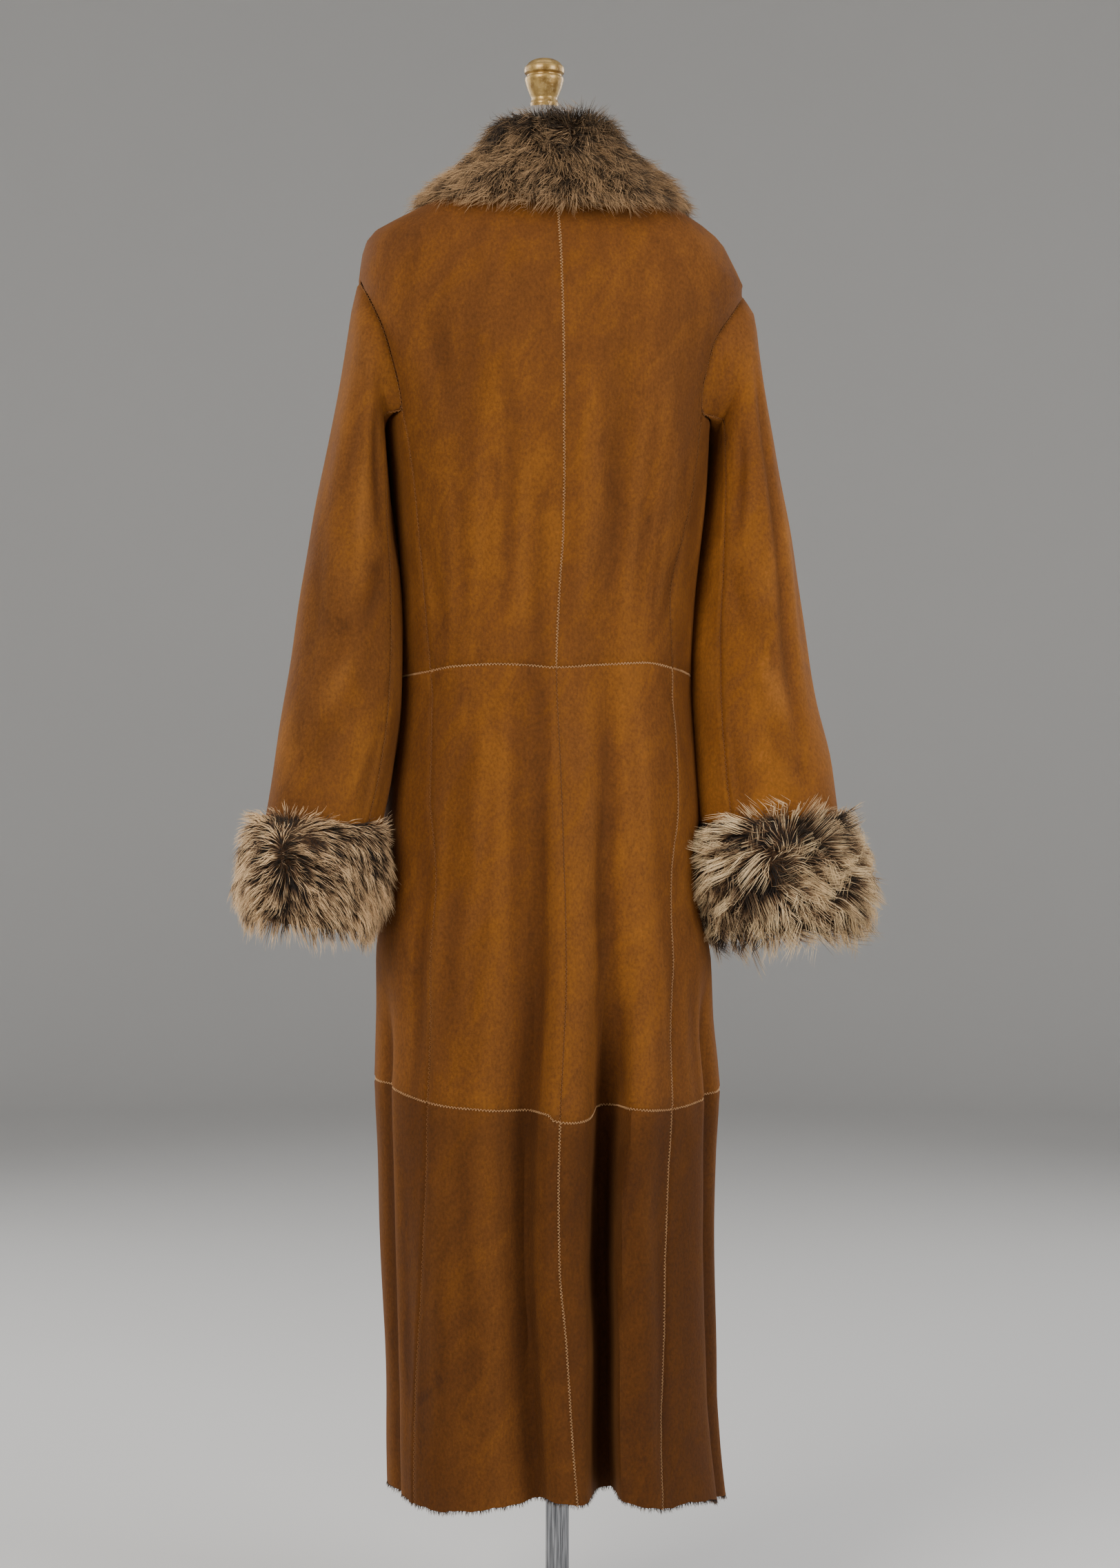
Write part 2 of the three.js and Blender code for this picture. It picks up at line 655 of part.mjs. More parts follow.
const CAP_FOOT_Z = FORM_NECK_TOP_Z + SEAM_GAP;
const CAP_TOP_Z = 1660;
const FINIAL_FOOT_Z = CAP_TOP_Z + SEAM_GAP;
const NECK_CAP_PROFILE = [
  [0, CAP_FOOT_Z], [36, CAP_FOOT_Z], [37, 1648], [35.5, 1652], [30, 1656], [22, 1658.6],
  [14, CAP_TOP_Z], [0, CAP_TOP_Z],
];
const FINIAL_PROFILE = [
  [0, FINIAL_FOOT_Z], [13.4, FINIAL_FOOT_Z], [13.8, 1664], [12.9, 1667], [12.5, 1669.5], [14, 1674],
  [16.8, 1682], [18.7, 1689.5], [18.3, 1692], [16.2, 1692.8], [16.4, 1694.6], [18.8, 1696.2],
  [19.2, 1700], [18.6, 1703.2], [17.2, 1704.4], [15.4, 1707.4], [11.4, 1710.4], [6, 1712.1], [0, 1712.6],
];
const BASE_PROFILE = [
  [0, 0], [BASE_RADIUS - 3, 0], [BASE_RADIUS, 3], [BASE_RADIUS, 10], [BASE_RADIUS - 5, 15],
  [BASE_RADIUS - 22, 18.5], [60, 25], [32, 30], [26, 36], [24, 60], [21, HUB_TOP_Z], [0, HUB_TOP_Z],
];
const POLE_PROFILE = [
  [0, HUB_TOP_Z + SEAM_GAP], [POLE_RADIUS, HUB_TOP_Z + SEAM_GAP],
  [POLE_RADIUS, FORM_BOTTOM_Z - SEAM_GAP], [0, FORM_BOTTOM_Z - SEAM_GAP],
];

function addStand(group) {
  addPiece(group, 'form_neck_cap', turned(NECK_CAP_PROFILE, 24), GREY_PAINT, FORM_X);
  addPiece(group, 'form_finial', turned(FINIAL_PROFILE, 20), GOLD_PAINT, FORM_X);
  addPiece(group, 'stand_pole', turned(POLE_PROFILE, 20), CHROME);
  addPiece(group, 'stand_base', turned(BASE_PROFILE, 36), BASE_PAINT);
}

const coat = new THREE.Group();
['left', 'right'].forEach((side) => {
  addBody(coat, side);
  addSleeve(coat, side);
  addCuff(coat, side);
});
addCollar(coat);
addForm(coat);
addStand(coat);

export default coat;
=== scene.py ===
# %% [markdown]
# # A full-length shearling coat on a dress form
# Each cell makes one thing and prints what it made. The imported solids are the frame: they
# give the size and place of every piece, and the pieces made here give the looks. All the
# tables are in millimetres, with the floor at z = 0, the pole of the stand on the Z axis, the
# coat's front towards -Y and its left side towards +X.

# %% Load the frame
import math
import bmesh
import bpy
import numpy as np
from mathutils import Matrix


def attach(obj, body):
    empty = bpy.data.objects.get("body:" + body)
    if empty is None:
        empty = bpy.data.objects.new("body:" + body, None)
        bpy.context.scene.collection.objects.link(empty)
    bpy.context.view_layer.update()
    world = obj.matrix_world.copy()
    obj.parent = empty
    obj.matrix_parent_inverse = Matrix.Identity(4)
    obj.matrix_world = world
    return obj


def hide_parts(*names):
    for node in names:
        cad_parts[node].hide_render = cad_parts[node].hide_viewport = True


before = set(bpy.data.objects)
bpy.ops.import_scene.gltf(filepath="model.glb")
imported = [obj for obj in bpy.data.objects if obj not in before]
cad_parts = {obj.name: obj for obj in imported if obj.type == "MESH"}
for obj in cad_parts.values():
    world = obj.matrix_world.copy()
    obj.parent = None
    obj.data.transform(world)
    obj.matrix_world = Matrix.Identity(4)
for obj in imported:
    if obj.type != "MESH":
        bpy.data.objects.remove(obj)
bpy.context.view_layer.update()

MM = 0.001

# %% [markdown]
# ## The camera
# The photograph looks level at the back of the coat, from a little to the coat's own left of
# straight behind. A long lens some three metres away keeps the hem and the collar in scale.

# %% Camera
CAMERA_DISTANCE = 3.2
CAMERA_HEIGHT = 0.94
CAMERA_TURN = math.radians(170)
CAMERA_ASIDE = 0.0029
SENSOR = 36
LENS = 68.93
camera_data = bpy.data.cameras.new("camera")
camera_data.sensor_fit = "VERTICAL"
camera_data.sensor_height = SENSOR
camera_data.lens = LENS
camera = bpy.data.objects.new("camera", camera_data)
right_x, right_y = math.cos(CAMERA_TURN), math.sin(CAMERA_TURN)
camera.location = (
    CAMERA_DISTANCE * right_y + CAMERA_ASIDE * right_x,
    -CAMERA_DISTANCE * right_x + CAMERA_ASIDE * right_y,
    CAMERA_HEIGHT,
)
camera.rotation_euler = (math.radians(90), 0, CAMERA_TURN)
bpy.context.scene.collection.objects.link(camera)
bpy.context.scene.camera = camera
print("camera at", tuple(round(v, 3) for v in camera.location))

# %% [markdown]
# ## Reading a table of sections
# A garment changes smoothly from one measured height to the next. A curve through the rows
# that never overshoots them keeps a straight run straight, which a plain spline would not.


# %% Smooth tables
class Table:
    """Columns of numbers against the first one, read along a curve that never overshoots."""

    def __init__(self, names, rows):
        rows = np.array(rows, float)
        self.keys = rows[:, 0]
        self.columns = {name: rows[:, i] for i, name in enumerate(names) if i}

    def __call__(self, name, key):
        values = self.columns[name]
        key = np.clip(np.asarray(key, float), self.keys[0], self.keys[-1])
        rise = np.diff(values) / np.diff(self.keys)
        before, after = rise[:-1], rise[1:]
        same_way = before * after > 0
        total = np.where(same_way, before + after, 1)
        slope = np.concatenate([rise[:1], np.where(same_way, 2 * before * after / total, 0), rise[-1:]])
        i = np.clip(np.searchsorted(self.keys, key, side="right") - 1, 0, len(self.keys) - 2)
        span = self.keys[i + 1] - self.keys[i]
        t = (key - self.keys[i]) / span
        return (
            (2 * t**3 - 3 * t**2 + 1) * values[i]
            + (t**3 - 2 * t**2 + t) * span * slope[i]
            + (3 * t**2 - 2 * t**3) * values[i + 1]
            + (t**3 - t**2) * span * slope[i + 1]
        )


def smoothstep(value, low, high):
    t = np.clip((value - low) / (high - low), 0, 1)
    return t * t * (3 - 2 * t)


def unit(vectors):
    return vectors / np.maximum(np.linalg.norm(vectors, axis=-1, keepdims=True), 1e-9)


# %% [markdown]
# ## The coat's surface
# One surface carries the whole body of the coat: a section at each height, like the rings of
# a dressmaker's block. Its left and right reach, depth and dip are the driving sizes. The
# folds hang from the shoulder blades and the waist and open towards the hem, the way a
# flared skirt of heavy hide falls.

# %% Sections and folds of the body
WALL = 2.6
SEAM_GAP = 0.12
HEM_Z = 205
LOWER_SEAM_Z = 600
WAIST_Z = 1058
UNDERARM_Z = 1335
SHOULDER_TIP_Z = 1475
NECK_Z = 1590
SQUARENESS = 2.3
DROP_POWER = 2.5
GIRTH = 2.8  # mm of cloth round the body for each degree

BODY = Table(
    ["height", "left", "right", "middle", "back", "front", "drop"],
    [
        [205, 181, 178, 8, 165, 150, -5],
        [255, 183, 171, 12, 163, 150, -8],
        [300, 184, 167, 15, 162, 150, -12],
        [380, 187, 167, 20, 160, 149, -18],
        [450, 190, 167, 26, 159, 148, -22],
        [525, 192, 168, 27, 158, 147, -26],
        [600, 195, 171, 25, 157, 146, -30],
        [675, 195, 164, 21, 156, 145, -25],
        [740, 196, 162, 18, 154, 144, -18],
        [775, 194, 155, 18, 153, 143, -14],
        [806, 190, 148, 18, 151, 142, -10],
        [850, 187, 145, 19, 149, 140, -5],
        [910, 187, 150, 20, 145, 136, 0],
        [967, 180, 147.5, 21, 138, 130, 4],
        [1058, 171, 142, 22, 122, 118, 8],
        [1141, 171.5, 146.5, 19, 124, 120, 8],
        [1200, 175, 152.5, 16, 130, 124, 8],
        [1249, 178.5, 157, 16, 135, 128, 9],
        [1302, 182.5, 160, 17, 139, 131, 10],
        [1335, 186.5, 162, 17, 140, 132, 10],
        [1370, 194, 166, 17, 139, 130, 8],
        [1405, 203, 178, 17, 136, 126, 5],
        [1440, 209, 192, 17, 131, 120, 4],
        [1475, 212, 199, 17, 124, 112, 7],
        [1500, 209, 188, 17, 117, 104, 7],
        [1525, 202, 177, 17, 107, 94, 10],
        [1545, 183, 163, 17, 95, 84, 18],
        [1562, 154, 139, 15, 84, 75, 19],
        [1578, 118, 106, 14, 74, 67, 15],
        [1590, 88, 70, 13, 66, 60, 10],
    ],
)

# startZ, fullZ, endZ, start angle, hem angle, depth, left width, right width
FOLDS = [
    (1200, 540, 0, 4.5, 12, 31, 24, 13),
    (1100, 520, 0, 0, 2, -5, 12, 12),
    (1180, 700, 300, -17.5, -9, 24, 17, 15),
    (1150, 450, 0, -28, -21, -9, 14, 16),
    (1420, 1230, 1075, -17, -17, 7, 16, 16),
    (1440, 1380, 1290, 40, 52, 6, 16, 16),
    (720, 620, 0, 74, 80, 9, 12, 12),
    (740, 640, 0, -60, -66, 12, 13, 13),
    (900, 500, 0, 100, 104, 13, 18, 18),
    (700, 450, 0, -98, -102, 14, 18, 18),
    (1050, 420, 0, 140, 136, 24, 18, 22),
    (1050, 420, 0, -146, -142, 30, 20, 16),
    (1000, 500, 0, 158, 160, -7, 16, 16),
]

# The deep pleat beside the centre back seam: the same measures, but it runs straight in from
# behind instead of towards the middle of the coat, with a flat floor and steep sides
PLEAT = [(760, 470, 0, -17.5, -6.8, 64, 10.5, 9.5)]
PLEAT_WAY = (0.17, 0.985)

# Small creases, each along a line: start angle and height, end angle and height, depth, width
CREASES = [
    (15, 1400, 19, 1090, 2.6, 9),
    (26, 1340, 30, 1120, -1.8, 10),
    (38, 1300, 36, 1075, 2.0, 9),
    (-7, 1430, -6, 1075, -2.2, 10),
    (-30, 1360, -27, 1080, 2.4, 9),
    (-42, 1330, -38, 1100, -1.6, 9),
    (7, 1260, 6, 1070, 3.0, 9),
    (58, 1210, 44, 1090, 2.2, 8),
    (-50, 1200, -40, 1090, 2.0, 8),
    (12, 1045, 15, 700, 3.4, 11),
    (24, 1040, 29, 760, -2.4, 12),
    (36, 980, 38, 640, 2.8, 12),
    (-24, 1040, -25, 640, 3.0, 10),
    (-34, 900, -31, 560, -2.2, 9),
    (50, 880, 52, 620, 3.6, 10),
    (-50, 760, -50, 560, 2.4, 9),
    (30, 590, 33, 260, 3.2, 13),
    (44, 560, 50, 230, -2.6, 14),
    (20, 520, 24, 205, -3.6, 9),
    (-22, 560, -17, 205, -2.6, 6),
    (-32, 480, -30, 210, 2.4, 10),
    (60, 560, 66, 230, 2.4, 12),
    (48, 1052, 60, 1020, 1.8, 7),
    (-40, 1052, -52, 1010, 1.8, 7),
    (120, 1300, 126, 1090, 2.4, 10),
    (-120, 1290, -128, 1090, 2.4, 10),
    (150, 1400, 152, 1100, -2.2, 12),
    (-155, 1400, -150, 1090, 2.4, 11),
    (124, 980, 122, 560, 3.2, 13),
    (-126, 980, -122, 560, 3.4, 12),
    (150, 560, 150, 220, 3.2, 12),
    (-160, 900, -158, 400, 3.6, 13),
    (86, 1280, 84, 1080, 2.4, 9),
    (-84, 1280, -80, 1080, 2.4, 9),
    (90, 940, 94, 620, 3.0, 12),
    (-84, 900, -86, 620, 3.0, 12),
]


def fold_depth(angle, height, folds=FOLDS, power=2):
    """How far the cloth lies inside the section, in mm, at each angle and height."""
    depth = np.zeros(np.broadcast(angle, height).shape)
    for start_z, full_z, end_z, start, hem, deep, left_width, right_width in folds:
        shown = 1 - smoothstep(height, full_z, start_z)
        if end_z:
            shown = shown * smoothstep(height, end_z, full_z)
        share = np.clip((start_z - height) / (start_z - HEM_Z), 0, 1)
        turn = angle - (start + (hem - start) * share)
        aside = ((turn + 180) % 360 - 180) * GIRTH
        width = np.where(aside > 0, left_width, right_width)
        depth = depth + deep * shown * np.exp(-(np.abs(aside / width) ** power))
    return depth


def crease_depth(angle, height):
    """The small creases, faded in and out along their length, and a slow waviness."""
    along_round, up = angle * GIRTH, height
    depth = np.zeros(np.broadcast(angle, height).shape)
    for start, start_z, end, end_z, deep, width in CREASES:
        line = np.array([(end - start) * GIRTH, end_z - start_z])
        length = np.linalg.norm(line)
        run = line / length
        across_x, up_z = along_round - start * GIRTH, up - start_z
        share = np.clip((across_x * run[0] + up_z * run[1]) / length, 0, 1)
        off_line = across_x * run[1] - up_z * run[0]
        depth = depth + deep * np.sin(np.pi * share) ** 0.8 * np.exp(-((off_line / width) ** 2))
    for number in range(9):
        direction = 2.4 * number
        wavelength = 62 + 17 * number
        phase = (along_round * math.cos(direction) + 0.5 * up * math.sin(direction)) / wavelength
        depth = depth + 0.26 * np.sin(2 * np.pi * phase + 1.7 * number)
    return depth


def coat_surface(angle, height):
    """Points on the outside of the folded body, in mm."""
    angle, height = np.broadcast_arrays(np.asarray(angle, float), np.asarray(height, float))
    aside, along = np.sin(np.radians(angle)), np.cos(np.radians(angle))
    middle = BODY("middle", height)
    reach = np.where(aside >= 0, BODY("left", height) - middle, BODY("right", height) + middle)
    depth = np.where(along >= 0, BODY("back", height), BODY("front", height))
    x = reach * np.sign(aside) * np.abs(aside) ** (2 / SQUARENESS)
    y = depth * np.sign(along) * np.abs(along) ** (2 / SQUARENESS)
    scale = 1 - fold_depth(angle, height) / np.hypot(x, y)
    pleat = fold_depth(angle, height, PLEAT, 4)
    x, y = x * scale - pleat * PLEAT_WAY[0], y * scale - pleat * PLEAT_WAY[1]
    z = height - BODY("drop", height) * np.abs(aside) ** DROP_POWER
    return np.stack([middle + x, y, z], axis=-1)


def coat_normal(angle, height):
    turn, step = 0.45, 1.5
    low, high = np.maximum(height - step, HEM_Z), np.minimum(height + step, NECK_Z)
    around = coat_surface(angle + turn, height) - coat_surface(angle - turn, height)
    up = coat_surface(angle, high) - coat_surface(angle, low)
    return unit(np.cross(up, around))


RIDGE_REACH = 11
# Limits of the painted shade in troughs and of the paler ridges
DARKEST, PALEST = -0.9, 0.35


def wear_and_shade_at(angle, height):
    """Wear and painted shade on the suede: ridges are painted paler, partly rubbed nap and partly
    painted highlight, and troughs are painted darker as shade.

    Painted shade also darkens the hem right of the centre back and, more lightly, the yoke.
    """
    aside = RIDGE_REACH / GIRTH
    depth = lambda a: fold_depth(a, height) + fold_depth(a, height, PLEAT, 4) + crease_depth(a, height)
    proud = (depth(angle - aside) + depth(angle + aside)) / 2 - depth(angle)
    # Painted shade on the hem right of the centre back, where the folds shade it
    painted_hem_shade = smoothstep(-angle, -10, 6) * smoothstep(-angle, 85, 65)
    painted_hem_shade = painted_hem_shade * smoothstep(height, 620, 560)
    # Painted shade over the yoke, a little darker
    painted_yoke_shade = smoothstep(height, 1220, 1420)
    # Troughs painted darker as shade; ridges paler, partly rubbed nap and partly painted highlight
    wear_and_shade = np.clip(proud / 4, DARKEST, PALEST) * (1 - 0.5 * painted_hem_shade)
    return wear_and_shade - 0.8 * painted_hem_shade - 0.28 * painted_yoke_shade


print("surface checked at the centre back waist:", coat_surface(0, WAIST_Z).round(1))

# %% [markdown]
# ## Cloth as a thin closed shell
# Hide has two faces and a cut edge, so every panel is a wall: an outer grid, an inner grid
# and a rim that joins them. The columns are spread by the length of cloth, not by angle, so
# a deep pleat gets as many cells as the flat cloth beside it.


# %% Shells
def grid_faces(rows, columns, around):
    """Faces of a closed wall: outer grid first, then inner grid, then the rims."""
    index = np.arange(rows * columns).reshape(rows, columns)
    if around:
        index = np.concatenate([index, index[:, :1]], axis=1)
    inner = index + rows * columns
    a, b, c, d = index[:-1, :-1], index[:-1, 1:], index[1:, 1:], index[1:, :-1]
    outside = np.stack([a, b, c, d], -1).reshape(-1, 4)
    inside = np.stack([a, d, c, b], -1).reshape(-1, 4) + rows * columns
    low = np.stack([index[0, :-1], inner[0, :-1], inner[0, 1:], index[0, 1:]], -1)
    high = np.stack([index[-1, :-1], index[-1, 1:], inner[-1, 1:], inner[-1, :-1]], -1)
    rims = [low, high]
    if not around:
        rims.append(np.stack([index[:-1, 0], index[1:, 0], inner[1:, 0], inner[:-1, 0]], -1))
        rims.append(np.stack([index[:-1, -1], inner[:-1, -1], inner[1:, -1], index[1:, -1]], -1))
    return outside, inside, np.concatenate(rims)


def placed(name, data):
    """An object of a mesh or a lamp, put into the scene."""
    piece = bpy.data.objects.new(name, data)
    bpy.context.scene.collection.objects.link(piece)
    return piece


def mesh_object(name, points, faces, materials, face_material=None, attributes=None, crisp=40):
    """A mesh in metres from points in mm, facing outwards, smooth but for its crisp corners."""
    corners = points[faces[:, :3]]
    volume = np.einsum("ij,ij->i", corners[:, 0], np.cross(corners[:, 1], corners[:, 2])).sum()
    if volume < 0:
        faces = faces[:, ::-1]
    mesh = bpy.data.meshes.new(name)
    mesh.from_pydata((points * MM).tolist(), [], faces.tolist())
    for material in materials:
        mesh.materials.append(material)
    if face_material is not None:
        mesh.polygons.foreach_set("material_index", face_material.astype(np.int32))
    for key, values in (attributes or {}).items():
        kind = "FLOAT_VECTOR" if values.ndim == 2 else "FLOAT"
        layer = mesh.attributes.new(key, kind, "POINT")
        layer.data.foreach_set("vector" if values.ndim == 2 else "value", values.ravel().astype(np.float32))
    mesh.shade_smooth()
    if crisp:
        mesh.set_sharp_from_angle(angle=math.radians(crisp))
    mesh.update()
    return placed(name, mesh)


def wall_object(name, outer, inner, materials, attributes=None, around=False):
    """A closed wall from an outer and an inner grid of points. materials: outside, inside."""
    rows, columns = outer.shape[:2]
    outside, inside, rims = grid_faces(rows, columns, around)
    faces = np.concatenate([outside, inside, rims])
    face_material = np.repeat([0, 1, 1], [len(outside), len(inside), len(rims)])
    points = np.concatenate([outer.reshape(-1, 3), inner.reshape(-1, 3)])
    doubled = {}
    for key, values in (attributes or {}).items():
        flat = values.reshape(rows * columns, -1).squeeze(-1) if values.ndim == 2 else values.reshape(-1, 3)
        doubled[key] = np.concatenate([flat, flat])
    return mesh_object(name, points, faces, materials, face_material, doubled)


def belongs(piece, slot, *nodes):
    """Every piece rides on the one body and replaces its solids, which are hidden; slot is not used."""
    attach(piece, "root")
    if nodes:
        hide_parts(*nodes)


print("a wall of 2 by 2 cells has", sum(len(f) for f in grid_faces(3, 3, False)), "faces")

# %% [markdown]
# ## Writing materials as sums
# A wire wraps the output of a node, so that a pattern can be written the way it is thought
# of: a dark colour, plus a share of a light one, times a noise.


# %% Wires
class Wire:
    """The output of a node, which can be reckoned with."""

    def __init__(self, socket):
        self.socket = socket

    @property
    def tree(self):
        return self.socket.id_data

    def math(self, operation, *others, clamp=False):
        values = [self, *others]
        vector = any(isinstance(v, Wire) and v.socket.type in ("VECTOR", "RGBA") for v in values)
        kind = "ShaderNodeVectorMath" if vector else "ShaderNodeMath"
        if vector:
            values = [(v, v, v) if isinstance(v, (int, float)) else v for v in values]
        settings = {"operation": operation}
        if clamp:
            settings["use_clamp"] = True
        return add_node(self.tree, kind, settings, dict(enumerate(values)))

    def __add__(self, other):
        return self.math("ADD", other)

    def __radd__(self, other):
        return self.math("ADD", other)

    def __sub__(self, other):
        return self.math("SUBTRACT", other)

    def __rsub__(self, other):
        return (self * -1).math("ADD", other)

    def __mul__(self, other):
        return self.math("MULTIPLY", other)

    def __rmul__(self, other):
        return self.math("MULTIPLY", other)

    def spread(self, low, high, to_low=0.0, to_high=1.0):
        """This value from low to high, softly mapped to to_low and to_high."""
        links = {0: self, 1: low, 2: high, 3: to_low, 4: to_high}
        return add_node(self.tree, "ShaderNodeMapRange", {"interpolation_type": "SMOOTHSTEP"}, links)


def add_node(tree, kind, settings=None, links=None, out=0):
    """A node of any kind: its settings, then a value or a wire for each input."""
    node = tree.nodes.new(kind)
    for key, value in (settings or {}).items():
        setattr(node, key, value)
    for key, value in (links or {}).items():
        socket = node.inputs[key]
        if isinstance(value, Wire):
            tree.links.new(value.socket, socket)
        else:
            socket.default_value = value
    return Wire(node.outputs[out])


def srgb(red, green, blue):
    """A colour as seen on a screen, 0 to 255, as the light it stands for."""
    light = [c / 255 for c in (red, green, blue)]
    light = [c / 12.92 if c <= 0.04045 else ((c + 0.055) / 1.055) ** 2.4 for c in light]
    return (*light, 1)


def mixed(factor, first, second):
    """first, giving way to second as factor goes from 0 to 1."""
    links = {0: factor, 6: first, 7: second}
    return add_node(factor.tree, "ShaderNodeMix", {"data_type": "RGBA"}, links, out=2)


def noise(place, scale, detail=2.0, roughness=0.5, distortion=0.0):
    links = {"Vector": place, "Scale": scale, "Detail": detail, "Roughness": roughness}
    links["Distortion"] = distortion
    return add_node(place.tree, "ShaderNodeTexNoise", None, links)


def start_material(name):
    """A material with its shader, and the place on the object in metres."""
    material = bpy.data.materials.new(name)
    material.use_nodes = True
    tree = material.node_tree
    shader = tree.nodes["Principled BSDF"]
    place = Wire(tree.nodes.new("ShaderNodeTexCoord").outputs["Object"])
    return material, shader, place


def set_shader(shader, **values):
    """Sets the shader's inputs: underscores stand for spaces."""
    for key, value in values.items():
        socket = shader.inputs[key.replace("_", " ")]
        if isinstance(value, Wire):
            shader.id_data.links.new(value.socket, socket)
        else:
            socket.default_value = value


def bump(height, distance, strength=1.0, normal=None):
    """Relief of a height from 0 to 1, as deep as distance in metres."""
    links = {"Height": height, "Distance": distance, "Strength": strength}
    if normal is not None:
        links["Normal"] = normal
    return add_node(height.tree, "ShaderNodeBump", None, links)


# %% [markdown]
# ## Suede
# Suede is the flesh side of the hide, buffed to a nap. Where the nap lies one way it takes
# the light, and where a hand has brushed it the other way it goes dark, so its colour is all
# soft blotches and strokes of three sizes. The ridges of the folds are painted paler, partly
# for rubbed nap and partly as a painted highlight, and the troughs are painted darker as
# shade; the same painted shade darkens the hem right of the centre back and the yoke. It has
# hardly any gloss, only the faint sheen of short fibres seen along their length.

# %% Suede and the wool behind it
SUEDE_DARK = srgb(70, 37, 9)
SUEDE_MID = srgb(118, 70, 22)
SUEDE_LIGHT = srgb(150, 96, 40)


def suede(name, shade=1.0, red=0.0):
    material, shader, place = start_material(name)
    tree = material.node_tree
    wear_and_shade = add_node(tree, "ShaderNodeAttribute", {"attribute_name": "wear_and_shade"}, out=2)
    tall = place * (1.0, 1.0, 0.42)
    slanted = add_node(tree, "ShaderNodeVectorRotate", {"rotation_type": "Y_AXIS"},
                       {"Vector": place, "Angle": 0.5}) * (1.0, 1.0, 0.4)
    mottle = noise(tall, 9, 3, 0.55, 0.4).spread(0.34, 0.68)
    nap = noise(slanted, 30, 4, 0.6, 0.8).spread(0.36, 0.7)
    smudge = noise(tall, 22, 5, 0.62, 1.2).spread(0.56, 0.72)
    stroke = noise(place * (1.0, 1.0, 0.16), 70, 3, 0.6).spread(0.4, 0.75)
    grain = noise(place, 1100, 2, 0.7)
    fibre = noise(place * (1.0, 1.0, 0.7), 380, 1.5, 0.6)
    depth = 0.44 + 0.26 * mottle + 0.14 * nap + 0.14 * stroke - 0.26 * smudge
    colour = mixed(depth.math("ADD", 0, clamp=True), SUEDE_DARK, SUEDE_MID)
    colour = mixed(nap * mottle * 0.34, colour, SUEDE_LIGHT)
    # Ridges painted paler, partly rubbed nap and partly painted highlight; painted shade darkens the
    # troughs, the hem right of the centre back and the yoke
    colour = mixed(wear_and_shade.math("MULTIPLY", 0.5, clamp=True), colour, SUEDE_LIGHT)
    colour = mixed((wear_and_shade * -0.6).math("ADD", 0, clamp=True), colour, SUEDE_DARK)
    speck = 0.3 + 0.5 * grain + 0.9 * fibre
    tint = (shade, shade * (1 - red), shade * (1 - 1.6 * red))
    relief = bump(grain + fibre * 1.4, 0.0005, 0.6)
    set_shader(shader, Base_Color=colour * speck * tint, Roughness=0.8 + 0.12 * nap, Normal=relief,
               Sheen_Weight=0.16, Sheen_Roughness=0.45, Sheen_Tint=srgb(214, 146, 84),
               Specular_IOR_Level=0.18)
    return material


def wool(name, dark, light):
    """The clipped wool on the inside, and along a cut edge."""
    material, shader, place = start_material(name)
    curl = noise(place, 260, 4, 0.65, 1.0)
    patch = noise(place, 40, 2)
    colour = mixed(curl.spread(0.35, 0.7), dark, light) * (0.8 + 0.4 * patch)
    set_shader(shader, Base_Color=colour, Roughness=0.95, Normal=bump(curl, 0.002, 0.8),
               Specular_IOR_Level=0.1)
    return material


SUEDE_BODY = suede("suede_body", shade=0.98)
# The hem tier is a darker, redder hide, and its suede is painted darker still as shade, for the light
# falling off towards the hem
SUEDE_HEM = suede("suede_hem", shade=0.66, red=0.03)
# Both sleeves are a paler, less red hide than the body; the right one is painted a third lighter still,
# painted light for the light that falls on it
SUEDE_SLEEVES = {
    "left": suede("suede_sleeve_left", shade=1.0, red=-0.03),
    "right": suede("suede_sleeve_right", shade=1.34, red=-0.03),
}
WOOL = wool("clipped_wool", srgb(38, 22, 14), srgb(82, 52, 34))
print("materials:", [m.name for m in bpy.data.materials])

# %% [markdown]
# ## The panels of the body
# The coat is cut in three tiers of six panels: two backs, two sides and two fronts, joined at
# the waist and again at the knee. Each is drawn from the shared surface between its own two
# seams. At a seam the hides are pulled together, so the cloth dips into the stitching and
# puckers a little beside it. The hem is a raw edge that ripples by a few millimetres.

# %% Seams and armholes
PRINCESS = Table(
    ["height", "left", "right"],
    [
        [205, 63, 25],
        [301, 60, 30],
        [433, 52, 33.5],
        [600, 47, 35.5],
        [700, 46, 36.5],
        [837, 46, 44.5],
        [945, 50, 48],
        [1058, 55, 49.5],
        [1139, 58.5, 46.5],
        [1206, 61, 51],
        [1262, 63, 56.5],
        [1335, 67, 60],
    ],
)
FRONT_SEAM_ANGLE = 112
SHOULDER_ANGLE = 90
ARMHOLE = Table(
    ["share", "left", "right", "front"],
    [
        [0, 67, 60, 112],
        [0.15, 66, 59, 115],
        [0.3, 66, 59.5, 117],
        [0.5, 67, 59, 116],
        [0.65, 70, 62.5, 112],
        [0.78, 75, 69, 106],
        [0.9, 81, 78, 98],
        [1, 90, 90, 90],
    ],
)


def armhole_share(height):
    return (height - UNDERARM_Z) / (SHOULDER_TIP_Z - UNDERARM_Z)


def back_edge(side, height):
    """The angle where the back panel ends towards the side."""
    on_armhole = ARMHOLE(side, armhole_share(height))
    angle = np.where(height <= UNDERARM_Z, PRINCESS(side, height), on_armhole)
    return np.where(height >= SHOULDER_TIP_Z, SHOULDER_ANGLE, angle)


def front_edge(height):
    on_armhole = ARMHOLE("front", armhole_share(height))
    angle = np.where(height <= UNDERARM_Z, FRONT_SEAM_ANGLE, on_armhole)
    return np.where(height >= SHOULDER_TIP_Z, SHOULDER_ANGLE, angle)


